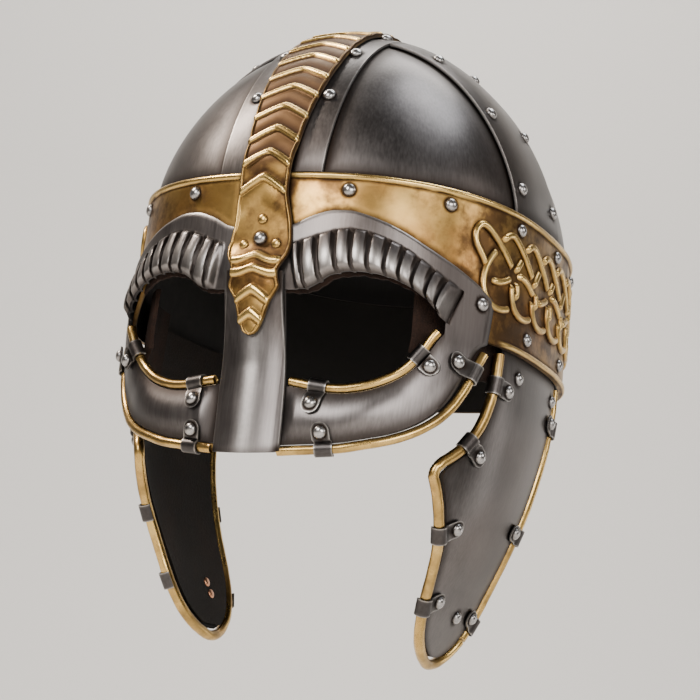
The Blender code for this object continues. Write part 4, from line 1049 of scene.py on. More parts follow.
@dataclass
class SkullPlates:
    """The four domed steel plates of the skull."""

    head: HeadForm
    overlap: float = 11.0 * MM
    tuck: float = 8.0 * MM
    levels: int = 40
    steps: int = 40
    soot: float = 0.72
    shade_reach: float = 13.0 * MM
    seam_shade: float = 0.28
    seam_reach: float = 3.0 * MM

    def grid(self, side: float, fore: bool, out: float) -> Array:
        """Points of one plate from its rim up to its inner corner.

        Args:
            side: 1 on the left, -1 on the right.
            fore: Whether it is a front plate.
            out: Distance outward.

        Returns:
            The points.
        """
        head = self.head
        inner_x = head.keel_half - self.overlap
        edge = head.cross_half - self.overlap
        foot = head.cross_foot - edge if fore else head.cross_foot + edge
        crown = head.cross_crown - edge if fore else head.cross_crown + edge
        deep = (head.front if fore else head.back) - head.tuck + out
        half = head.half - head.tuck + out
        first = math.asin((inner_x / half) ** (head.power / 2.0))
        reach = abs(foot) if (foot < 0.0) == fore else 0.0
        last = math.acos((reach / deep) ** (head.power / 2.0))
        turn = np.linspace(first, last, self.steps + 1)
        rim_x = half * np.sin(turn) ** (2.0 / head.power)
        rim_y = deep * np.cos(turn) ** (2.0 / head.power) * (-1.0 if fore else 1.0)
        rows = [np.stack((side * rim_x, rim_y, np.full_like(rim_x, head.height - self.tuck)), axis=-1)]
        for level in range(self.levels + 1):
            lift = 0.5 * math.pi * level / (self.levels + 2.4)
            share = math.cos(lift) ** (2.0 / head.skull_round)
            x = inner_x + (rim_x - inner_x) * share
            y = crown + (rim_y - crown) * share
            rows.append(np.stack((side * x, y, head.over(x, y, np.full_like(x, out))), axis=-1))
        return np.stack(rows)

    def build(self, finishes: Finishes) -> None:
        """Make the four plates.

        Args:
            finishes: The materials.
        """
        head = self.head
        for side in Side:
            for fore, word in ((True, "front"), (False, "back")):
                outer = self.grid(side.value, fore, 0.0)
                inner = self.grid(side.value, fore, -head.plate_wall)
                # Painted shade toward the keel band, the cross bands and the brow band, deepest along the
                # seams.
                by_keel = np.abs(outer[..., 0]) - head.keel_half
                by_cross = np.abs(outer[..., 1] - head.cross_middle(outer[..., 2])) - head.cross_half
                by_band = outer[..., 2] - head.height
                nearest = np.minimum(np.minimum(by_keel, by_cross), by_band)
                shade_and_grime = self.soot * fading(nearest, self.shade_reach)
                shade_and_grime = shade_and_grime + self.seam_shade * fading(nearest, self.seam_reach)
                shell = Shell()
                shell.wall(outer, inner, tone_pair(shade_and_grime))
                name = "skull_plate_%s_%s" % (word, side.word)
                piece = shell.make("shown_" + name, finishes.steel)
                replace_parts(piece, name)


@dataclass
class StrapBands:
    """The keel band over the crown and the two cross bands, with their rivets."""

    head: HeadForm
    keel_inset: float = 8.0 * MM
    keel_first: float = 64.0
    keel_pitch: float = 22.3
    keel_pairs: int = 7
    cross_first: float = 33.0
    cross_pitch: float = 24.6
    cross_pairs: int = 3
    edge_round: float = 0.35 * MM
    edge_wear: float = 0.45
    edge_reach: float = 0.8 * MM
    crest_shade: float = 0.85
    crest_reach: float = 6.0 * MM
    keel_shade: float = 0.7
    keel_reach: float = 7.0 * MM
    band_shade: tuple[float, float] = (0.6, 0.7)
    band_reach: float = 9.0 * MM

    @property
    def top(self) -> float:
        """How far the straps' outer faces stand out from the skull."""
        return self.head.strap_seat + self.head.strap_wall

    def edge_tone(self, inset: Array) -> Array:
        """Wear along an edge by distance from it."""
        return self.edge_wear * fading(inset, self.edge_reach)

    def build_keel(self, finishes: Finishes) -> None:
        """Make the keel band.

        Args:
            finishes: The materials.
        """
        head = self.head
        last = math.acos(head.seam / (head.half - head.tuck))
        turn = np.linspace(last, -last, 281)[:, None]
        share = np.sin(np.linspace(-0.5, 0.5, 45) * math.pi)[None, :]
        x = head.keel_half * share

        def strap(out: float) -> Array:
            """Grid of the strap at an offset."""
            return head.keel(x, turn, out)

        def surface(first: Array, second: Array, out: Array) -> Array:
            """The strap's outer face."""
            return head.keel(first, second, self.top + out)

        rivets = Rivets("keel_rivets", "keel_band")
        for pair in range(self.keel_pairs):
            for side in (-1.0, 1.0):
                rivets.set(surface, side * (head.keel_half - self.keel_inset),
                           math.radians(self.keel_first - self.keel_pitch * pair))
        outer = strap(self.top)
        inset = head.keel_half - np.abs(outer[..., 0])
        # Painted shade under the crest, near the brow band and round the rivets.
        under_crest = self.crest_shade * fading(np.abs(outer[..., 0]) - head.crest_half, self.crest_reach)
        by_band = self.band_shade[0] * fading(outer[..., 2] - head.height, self.band_reach)
        shade_and_grime = np.maximum.reduce([rivets.shade(outer), under_crest, by_band])
        shell = Shell()
        shell.wall(outer, strap(head.strap_seat), tone_pair(shade_and_grime, self.edge_tone(inset)))
        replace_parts(shell.make("shown_keel_band", finishes.steel, self.edge_round), "keel_band")
        rivets.build(finishes.rivet)

    def build_cross(self, side: Side, finishes: Finishes) -> None:
        """Make one cross band.

        Args:
            side: Side of the wearer.
            finishes: The materials.
        """
        head = self.head
        last = math.acos(head.seam / (head.half - head.tuck))
        beside = head.cross_half * np.sin(np.linspace(-0.5, 0.5, 45) * math.pi)
        inner_x = head.keel_half + head.seam

        def strap(out: float) -> Array:
            """Grid of the strap at an offset.

            Args:
                out: Distance outward.

            Returns:
                The points.
            """
            low = np.full_like(beside, 0.02)
            high = np.full_like(beside, 0.8)
            for _ in range(30):
                middle = (low + high) / 2.0
                past = head.cross(beside, middle, out, 1.0)[..., 0] > inner_x
                high = np.where(past, middle, high)
                low = np.where(past, low, middle)
            first = (low + high) / 2.0
            share = np.linspace(0.0, 1.0, 121)[:, None]
            turn = first[None, :] + (last - first[None, :]) * share
            return head.cross(np.broadcast_to(beside, turn.shape), turn, out, side.value)

        def surface(first: Array, second: Array, out: Array) -> Array:
            """The strap's outer face."""
            return head.cross(first, second, self.top + out, side.value)

        rivets = Rivets("cross_rivets_" + side.word, "cross_band_" + side.word)
        for pair in range(self.cross_pairs):
            for row in (-1.0, 1.0):
                rivets.set(surface, row * (head.cross_half - self.keel_inset),
                           math.radians(self.cross_first + self.cross_pitch * pair))
        outer = strap(self.top)
        inset = np.broadcast_to(head.cross_half - np.abs(beside), outer.shape[:-1])
        # Painted shade beside the keel band, near the brow band and round the rivets.
        by_keel = self.keel_shade * fading(np.abs(outer[..., 0]) - inner_x, self.keel_reach)
        by_band = self.band_shade[1] * fading(outer[..., 2] - head.height, self.band_reach)
        shade_and_grime = np.maximum.reduce([rivets.shade(outer), by_keel, by_band])
        shell = Shell()
        shell.wall(outer, strap(head.strap_seat), tone_pair(shade_and_grime, self.edge_tone(inset)))
        name = "cross_band_" + side.word
        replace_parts(shell.make("shown_" + name, finishes.steel, self.edge_round), name)
        rivets.build(finishes.rivet)

    def build(self, finishes: Finishes) -> None:
        """Make the keel band and both cross bands.

        Args:
            finishes: The materials.
        """
        self.build_keel(finishes)
        for side in Side:
            self.build_cross(side, finishes)


@dataclass
class KnotWork:
    """The interlaced strands raised on the sides and back of the brow band."""

    head: HeadForm
    first: float = 117.0 * MM
    pitch: float = 22.6 * MM
    loops: int = 11
    middle: float = 38.5 * MM
    swing: float = 20.5 * MM
    half: float = 2.05 * MM
    rise: float = 2.1 * MM
    step: float = 0.9 * MM
    wave: float = 45.0 * MM
    wave_rise: float = 4.0 * MM
    sides: int = 11
    end_dips: Triple = (0.9, 0.45, 0.1)
    wave_lower: float = 3.0 * MM
    wave_start: float = 0.37
    wave_step: float = 4.0 * MM
    sink: float = 0.5 * MM
    patina: float = 0.30
    hook: Table = (
        (0.16, -0.05), (0.04, 0.18), (-0.17, 0.42), (-0.24, 0.66), (-0.16, 0.90))
    loop: Table = (
        (0.00, 1.00), (0.24, 0.88), (0.50, 0.68), (0.76, 0.46), (1.03, 0.20), (1.27, -0.08), (1.36, -0.38),
        (1.25, -0.70), (1.01, -0.92), (0.72, -1.00), (0.43, -0.97), (0.21, -0.80), (0.10, -0.50),
        (0.12, -0.18), (0.24, 0.14), (0.47, 0.46), (0.73, 0.84))

    def lines(self) -> list[Array]:
        """Middle lines of the looping strand and of the strand along the middle.

        Returns:
            Lengths round the band and heights.
        """
        points = [np.array(self.hook)]
        points += [np.array(self.loop) + (number, 0.0) for number in range(self.loops)]
        chain = np.vstack(points) * (self.pitch, self.swing) + (self.first, self.middle)
        along = np.arange(self.first + self.wave_start * self.pitch, chain[-1, 0], self.wave_step)
        wave = self.middle - self.wave_lower + self.wave_rise * np.sin(
            2.0 * math.pi * (along - self.first - self.pitch) / self.wave)
        return [spaced(softened(line, 3), self.step) for line in (chain, np.stack((along, wave), axis=1))]

    def meetings(self, lines: list[Array]) -> list[Array]:
        """How deep each point of each line dips where it passes under another stretch.

        Args:
            lines: Middle lines of the strands.

        Returns:
            For each line, 1 at a point that passes under and 0 away from there.
        """
        owner = np.concatenate([np.full(len(line) - 1, number) for number, line in enumerate(lines)])
        place = np.concatenate([np.arange(len(line) - 1) for line in lines])
        begin = np.concatenate([line[:-1] for line in lines])
        move = np.concatenate([np.diff(line, axis=0) for line in lines])
        apart = begin[None, :, :] - begin[:, None, :]
        turn = move[:, None, 0] * move[None, :, 1] - move[:, None, 1] * move[None, :, 0]
        turn = np.where(np.abs(turn) < 1e-14, 1e-14, turn)
        here = (apart[..., 0] * move[None, :, 1] - apart[..., 1] * move[None, :, 0]) / turn
        there = (apart[..., 0] * move[:, None, 1] - apart[..., 1] * move[:, None, 0]) / turn
        hit = (here >= 0.0) & (here < 1.0) & (there >= 0.0) & (there < 1.0)
        first, second = np.nonzero(np.triu(hit, 3))
        under: dict[int, bool] = {}
        below = True
        pairs = list(enumerate(zip(first.tolist(), second.tolist())))
        visits = sorted([(a, number) for number, (a, _) in pairs if owner[a] == 0]
                        + [(b, number) for number, (_, b) in pairs if owner[b] == 0])
        sunk: list[int] = []
        for segment, number in visits:
            below = not below
            if number in under:
                below = not under[number]
            under[number] = below
            other = int(first[number] + second[number]) - segment
            sunk.append(segment if below else other)
        depth = [np.zeros(len(line)) for line in lines]
        for segment in set(sunk):
            line = depth[owner[segment]]
            far = np.abs(np.arange(len(line)) - place[segment] - 0.5) * self.step
            line[:] = np.maximum(line, fading(far - 1.5 * self.half, 1.3 * self.half))
        for line in depth:
            line[:3] = line[-3:] = np.maximum(line[:3], self.end_dips)
        return depth

    def build(self, finish: Material) -> None:
        """Make the strands of both sides.

        Args:
            finish: The material.
        """
        lines = self.lines()
        depths = self.meetings(lines)
        around = np.linspace(-0.12, 1.12, self.sides) * math.pi
        shell = Shell()
        for side in Side:
            for line, depth in zip(lines, depths):
                ahead = unit(np.gradient(line, axis=0))
                across = self.half * np.cos(around)[None, :] * (1.0 - 0.25 * depth[:, None])
                length = line[:, None, 0] - ahead[:, None, 1] * across
                height = line[:, None, 1] + ahead[:, None, 0] * across
                keep = 1.0 - depth[:, None]
                out = self.rise * np.sin(around)[None, :] * keep - self.sink * depth[:, None]
                points = self.head.ring_at(side.value * length, height, out)
                rows = points.shape[0]
                faces = tube_faces(rows, self.sides)
                if side is Side.LEFT:
                    faces = faces[:, ::-1]
                tones = np.zeros((rows, self.sides, 4))
                # Painted shade on the strands' sides and undersides and where one passes under another; the
                # lighter tops are wear.
                tones[..., 0] = np.clip(1.0 - 1.6 * np.sin(around)[None, :] + 0.8 * depth[:, None], 0.0, 1.0)
                tones[..., 1] = ease((np.sin(around)[None, :] - 0.55) / 0.4) * (1.0 - depth[:, None])
                tones[..., 3] = self.patina
                start = tuple(range(self.sides))
                end = tuple(reversed(range((rows - 1) * self.sides, rows * self.sides)))
                shell.add(points, tones, as_faces(faces) + [start, end])
        shell.make("brow_knotwork", finish)

    def shade(self, length: Array, height: Array) -> Array:
        """Painted shade on the ground beside the strands, by place on the band.

        Args:
            length: Length round one side of the band.
            height: Height over the lower rim.

        Returns:
            Painted shade from 0 to 1.
        """
        near = np.full(length.shape, 1.0)
        for line in self.lines():
            for point in line[::2]:
                close = np.abs(length[:, 0] - point[0]) < 6.0 * MM
                away = np.hypot(length[close] - point[0], height[close] - point[1])
                near[close] = np.minimum(near[close], away)
        return fading(near - 0.8 * self.half, 1.5 * self.half)


@dataclass
class BrowBand:
    """The brass band round the head."""

    head: HeadForm
    face: FaceForm
    knots: KnotWork
    bead_rise: float = 1.5 * MM
    bead_width: float = 3.4 * MM
    columns: int = 760
    rows: int = 66
    rivet_first: float = 44.0 * MM
    rivet_pitch: float = 52.0 * MM
    rivet_count: int = 7
    rivet_drop: float = 8.6 * MM
    hinge_height: float = 9.2 * MM
    clear: float = 3.2 * MM
    crest_reach: float = 14.0 * MM
    dent: float = 0.12 * MM
    dent_waves: tuple[float, float, float, float] = (190.0, 90.0, 120.0, 40.0)
    rim_shade_strength: float = 0.9
    rim_reach: float = 2.4 * MM
    knot_shade_strength: float = 0.66
    seam_shade: float = 0.8
    seam_reach: float = 5.0 * MM
    bead_wear: float = 0.75
    patina_front: float = 0.16
    patina_side: float = 0.38
    patina_start: float = 88.0 * MM
    patina_span: float = 30.0 * MM

    def rivets(self) -> Rivets:
        """Every rivet on the band.

        Returns:
            The rivets, not built yet.
        """
        rivets = Rivets("brow_rivets", "keel_band")
        lengths, turns = self.head.ring_table()
        for side in (-1.0, 1.0):
            for number in range(self.rivet_count):
                rivets.set(self.head.ring_at, side * (self.rivet_first + self.rivet_pitch * number),
                           self.head.height - self.rivet_drop)
            line = self.head.ring(turns, np.full_like(turns, self.hinge_height), np.zeros_like(turns))
            for place in self.face.hinge_places:
                length = float(np.interp(place, line[:, 1], lengths))
                rivets.set(self.head.ring_at, side * length, self.hinge_height)
        return rivets

    def build(self, finishes: Finishes) -> None:
        """Make the band and its rivets.

        Args:
            finishes: The materials.
        """
        head = self.head
        whole = head.ring_table()[0][-1]
        length = np.linspace(-whole, whole, self.columns + 1)[:-1][:, None]
        flat = head.ring_at(length, np.zeros_like(length), np.zeros_like(length))
        low = np.where(flat[..., 1] < 0.0, head.arch(flat[..., 0]), 0.0)
        share = np.linspace(0.0, 1.0, self.rows + 1)[None, :]
        rim = 0.5 - 0.5 * np.cos(share * math.pi)
        height = low + (head.height - low) * (0.55 * share + 0.45 * rim)
        clear = (np.abs(flat[..., 0]) - self.face.mask_half - self.clear) / self.clear
        fade = np.where(flat[..., 1] < 0.0, ease(clear), 1.0)
        upper = bead((head.height - height - self.bead_width / 2.0) / (self.bead_width / 2.0))
        lower = bead((height - low - self.bead_width / 2.0) / (self.bead_width / 2.0)) * fade
        # Painted shade beside the strands.
        knot_shade = self.knots.shade(np.abs(length) + 0.0 * height, height)
        rivets = self.rivets()
        beads = np.maximum(upper, lower)
        first, second, third, fourth = self.dent_waves
        dents = self.dent * np.sin(length * first + 2.0 * np.sin(height * second))
        dents = dents * np.sin(height * third + length * fourth)
        out = self.bead_rise * beads + dents * (1.0 - beads)
        outer = head.ring_at(length + 0.0 * height, height, out)
        inner = head.ring_at(length + 0.0 * height[:, :2], height[:, [-1, 0]],
                             np.full((self.columns, 2), -head.wall))
        # Painted shade beside the rims, beside the strands, round the rivets, above the mask's edge and
        # beside the crest.
        beside_rim = np.minimum(head.height - height, height - low) - self.bead_width
        rim_shade = self.rim_shade_strength * fading(beside_rim, self.rim_reach) * fading(beads, 0.6)
        rim_shade = rim_shade * np.where(height - low < 10.0 * MM, fade, 1.0)
        cheek = self.face.edge(self.face.top_edge, outer[..., 0], self.face.mask_rise)
        over_mask = np.where((outer[..., 1] < 0.0) & (np.abs(outer[..., 0]) < self.face.mask_half),
                             fading(height - cheek, self.seam_reach), 0.0)
        crest = fading(np.abs(outer[..., 0]) - self.crest_reach, self.seam_reach)
        shade_and_grime = np.maximum.reduce([rim_shade, self.knot_shade_strength * knot_shade, rivets.shade(outer, 1.6),
                                   self.seam_shade * over_mask, self.seam_shade * crest])
        wear = self.bead_wear * ease(beads / 0.8)
        side = ease((np.abs(length) - self.patina_start) / self.patina_span) * (1.0 - beads)
        points = np.concatenate((outer, inner), axis=1)
        tones = np.zeros(points.shape[:2] + (4,))
        tones[:, :self.rows + 1, 0] = shade_and_grime
        tones[:, :self.rows + 1, 1] = wear
        tones[:, :self.rows + 1, 3] = self.patina_front + self.patina_side * side
        tones[:, self.rows + 1:, 2] = 1.0
        index = np.arange(points.shape[0] * points.shape[1]).reshape(points.shape[:2])
        there = np.roll(index, -1, axis=0)
        after = np.roll(index, -1, axis=1)
        corner = np.roll(there, -1, axis=1)
        faces = np.stack((index, there, corner, after), axis=-1).reshape(-1, 4)
        shell = Shell()
        shell.add(points, tones, as_faces(faces))
        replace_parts(shell.make("shown_brow_band", finishes.brass), "brow_band")
        self.knots.build(finishes.brass)
        rivets.build(finishes.rivet)


@dataclass
class Crest:
    """The brass crest strip with its raised chevrons, and its head plate."""

    head: HeadForm
    face: FaceForm
    wall: float = 1.4 * MM
    band_seat: float = 2.0 * MM
    tip: float = -12.5 * MM
    head_top: float = 60.0 * MM
    step_span: float = 12.0 * MM
    nape_gap: float = 6.0 * MM
    pitch: float = 14.4 * MM
    first_apex: float = 68.5 * MM
    arm_drop: float = 9.0 * MM
    bar_half: float = 1.85 * MM
    bar_rise: float = 1.8 * MM
    rim_half: float = 0.8 * MM
    rim_rise: float = 0.7 * MM
    crown_widening: float = 4.6 * MM
    widening_start: float = 66.0 * MM
    widening_span: float = 90.0 * MM
    nape_span: float = 60.0 * MM
    bar_inset: float = 0.9 * MM
    bar_shade: float = 0.85
    head_shade: float = 0.6
    shade_reach: float = 6.5 * MM
    panel_rise: float = 0.5 * MM
    brown_least: float = 0.25
    brown_span: float = 14.0 * MM
    rivet_height: float = 36.2 * MM
    dot_rise: float = 1.3 * MM
    shift: float = 2.8 * MM
    shift_top: float = 64.0 * MM
    shift_span: float = 24.0 * MM
    columns: int = 57
    outline: Table = (
        (-12.5, 0.2), (-12.0, 2.2), (-10.5, 3.9), (-7.0, 5.8), (-3.0, 7.2), (0.0, 8.0), (4.0, 9.2),
        (6.5, 10.4), (9.5, 12.6), (12.4, 14.2), (13.6, 13.0), (15.5, 12.7), (18.5, 12.2), (21.0, 12.6),
        (23.5, 14.2), (27.0, 16.2), (31.0, 16.9), (35.0, 16.8), (42.0, 15.9), (50.0, 14.8), (60.0, 13.6),
        (70.0, 13.4))
    bars: Table = (
        (27.6, 5.2, 12.8), (20.2, 4.0, 12.4), (9.8, 6.0, 8.4), (-1.8, 4.8, 6.2))

    def base(self, height: Array) -> Array:
        """How far the crest's underside stands out from the band's face.

        Args:
            height: Height over the lower rim.

        Returns:
            The distance outward.
        """
        over_mask = self.face.mask_seat * 2.0 + self.face.mask_wall
        share = ease((self.face.mask_rise - height) / self.step_span)
        return self.band_seat + (over_mask - self.band_seat) * share

    def front(self, x: Array, height: Array, out: Array) -> Array:
        """Points where the crest lies on the band, the mask and the nasal.

        Args:
            x: Distance to the left of the middle.
            height: Height over the lower rim.
            out: Distance outward.

        Returns:
            The points.
        """
        face = self.face
        x = x + self.shift * ease((self.shift_top - height) / self.shift_span)
        points = face.mask(x, height, self.base(height) + out)
        lowered = np.minimum(height, face.nasal_top)
        over = face.nasal(np.zeros_like(x), lowered, face.mask_wall + self.head.strap_seat + out)[..., 1]
        share = ease((face.nasal_top + 1.3 * self.step_span - height) / self.step_span)
        bow = face.nasal_rise_top * (x / face.nasal_half) ** 2
        points[..., 1] += (over + bow - points[..., 1]) * share
        return points

    def crown(self, x: Array, turn: Array, out: Array) -> Array:
        """Points where the crest lies over the skull.

        Args:
            x: Distance to the left of the middle.
            turn: Turn from upright, front positive.
            out: Distance outward.

        Returns:
            The points.
        """
        head = self.head
        lift = 2.0 * head.strap_seat + head.strap_wall
        edge = head.tuck + self.band_seat
        rough = head.keel(x, turn, lift + out)
        step = np.where(turn > 0.0, ease(1.4 - (rough[..., 2] - head.height) / self.step_span), 0.0)
        return head.keel(x, turn, lift + (edge - lift) * step + out)

    def surface(self, x: Array, length: Array, out: Array) -> Array:
        """Points on the crest at a length up from the origin's height and over the crown.

        Args:
            x: Distance to the left of the middle.
            length: Length up from the origin's height.
            out: Distance outward.

        Returns:
            The points.
        """
        lengths, turns = self.crown_table
        x, length, out = np.broadcast_arrays(x, length, out)
        top = self.head.height
        low = self.front(x, np.minimum(length, top), out)
        turn = np.interp(np.maximum(length - top, 0.0), lengths, turns)
        high = self.crown(x, turn, out)
        return np.where((length < top)[..., None], low, high)

    def __post_init__(self) -> None:
        """Measure the crest's line over the crown."""
        last = -math.acos(self.nape_gap / (self.head.back - self.head.tuck))
        turns = np.linspace(math.pi / 2.0, last, 900)
        line = self.crown(np.zeros_like(turns), turns, np.zeros_like(turns))
        steps = np.linalg.norm(np.diff(line, axis=0), axis=1)
        self.crown_table = (np.concatenate(([0.0], np.cumsum(steps))), turns)
        self.end = self.head.height + self.crown_table[0][-1]

    def widened(self, length: Any) -> Array:
        """Half width of the strip over the skull, which widens toward the crown.

        Args:
            length: Length up from the origin's height.

        Returns:
            The half width.
        """
        crown = ease((np.asarray(length) - self.widening_start) / self.widening_span)
        nape = ease((self.end - np.asarray(length)) / self.nape_span)
        return self.head.crest_half + self.crown_widening * crown * nape

    def bar_set(self) -> list[Triple]:
        """Apex length, arm drop and half width of every raised bar.

        Returns:
            The bars from the tip up.
        """
        made = [(apex * MM, drop * MM, half * MM) for apex, drop, half in self.bars]
        apex = self.first_apex
        while apex < self.end - 6.0 * MM:
            made.append((apex, self.arm_drop, float(self.widened(apex)) - self.bar_inset))
            apex += self.pitch
        return made

    def relief(self, x: Array, length: Array, half: Array) -> tuple[Array, Array, Array]:
        """Height, painted shade and wear of the bars and the rim over the strip.

        Args:
            x: Distance to the left of the middle.
            length: Length up from the origin's height.
            half: Half width of the strip.

        Returns:
            Height, painted shade and wear at each place.
        """
        rise = np.zeros(x.shape)
        shade_and_grime = np.zeros(x.shape)
        panel = np.zeros(x.shape)
        for apex, drop, reach in self.bar_set():
            on_head = apex < self.head_top / 2.0
            bold = 1.2 if on_head else 1.0
            across = np.abs(x) / reach
            bend = np.sqrt(across ** 2 + 0.03) - math.sqrt(0.03)
            if on_head and reach > 10.0 * MM:
                bend = 1.55 * bend - 0.75 * across ** 3
            slope = drop / reach
            away = (length - (apex - drop * bend)) / math.sqrt(1.0 + slope * slope)
            beyond = np.maximum(np.abs(x) - (reach - self.bar_half * 0.6), 0.0)
            far = np.hypot(away, beyond) / bold
            rise = np.maximum(rise, bead(far / self.bar_half))
            # Painted shade round each bar, in the hollow above it and inside the rim.
            shade = fading(far - 0.8 * self.bar_half, 1.5 * MM)
            above = fading(away - self.bar_half, self.shade_reach)
            soft = (self.head_shade if on_head else self.bar_shade) * above * (away > 0.0) * (beyond < 0.4 * MM)
            shade_and_grime = np.maximum(shade_and_grime, np.maximum(shade, soft))
            swell = (away < 0.0) * bump((away + 6.0 * MM) / (7.0 * MM))
            panel = np.maximum(panel, swell)
        inset = half - np.abs(x)
        rim = bead((inset - self.rim_half) / self.rim_half)
        ridge = np.maximum(self.bar_rise * rise, self.rim_rise * rim)
        beside = 0.7 * fading(inset - 2.0 * self.rim_half, 1.0 * MM)
        shade_and_grime = np.maximum(shade_and_grime, beside) * fading(np.maximum(rise, rim), 0.5)
        wear = ease((np.maximum(rise, 0.55 * rim) - 0.45) / 0.4)
        return ridge + self.panel_rise * panel * (1.0 - rise), shade_and_grime, wear

    def dots(self) -> list[Triple]:
        """Height, distance beside the middle and radius of the brass dots."""
        return [(46.3 * MM, 0.0, 2.5 * MM), (33.4 * MM, 9.0 * MM, 2.5 * MM), (33.0 * MM, -8.6 * MM, 2.3 * MM)]

    def build(self, finishes: Finishes) -> None:
        """Make the crest, its dots and its one rivet.

        Args:
            finishes: The materials.
        """
        fine = np.arange(self.tip, self.end, 0.62 * MM)
        length = np.append(fine, self.end)[:, None]
        blur = sum(between(length / MM + shift, self.outline) for shift in (-1.6, -0.8, 0.0, 0.8, 1.6)) / 5.0
        head = np.where(length < -9.0 * MM, between(length / MM, self.outline), blur) * MM
        half = np.where(length > 62.0 * MM, self.widened(length), head)
        share = np.sin(np.linspace(-0.5, 0.5, self.columns) * math.pi)[None, :]
        x = half * share
        ridge, shade_and_grime, wear = self.relief(x, length + 0.0 * x, half + 0.0 * x)
        rivets = Rivets("crest_rivet", "keel_band")
        rivets.set(lambda a, b, out: self.surface(a, b, self.wall + out), 0.0, self.rivet_height)
        studs = Shell()
        for height, beside, radius in self.dots():
            at = self.surface(np.array(beside), np.array(height), np.array(self.wall))
            studs.dome(at, np.array((0.0, -1.0, 0.0)), radius, self.dot_rise)
            away = np.hypot(x - beside, length - height)
            # Painted shade round each dot.
            shade_and_grime = np.maximum(shade_and_grime, 0.8 * fading(away - radius, 1.4 * MM))
        outer = self.surface(x, length, self.wall + ridge)
        inner = self.surface(x, length, 0.0 * ridge)
        # Painted shade round the rivet.
        shade_and_grime = np.maximum(shade_and_grime, rivets.shade(outer, 1.8))
        shell = Shell()
        above_head = ease((length - self.widening_start) / self.brown_span) + 0.0 * wear
        brown = np.where(wear > 0.3, 0.0, self.brown_least + (1.0 - self.brown_least) * above_head)
        shell.wall(outer, inner, tone_pair(shade_and_grime, wear), patina=brown)
        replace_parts(shell.make("shown_crest", finishes.brass), "crest")
        studs.make("crest_dots", finishes.brass)
        rivets.build(finishes.rivet)


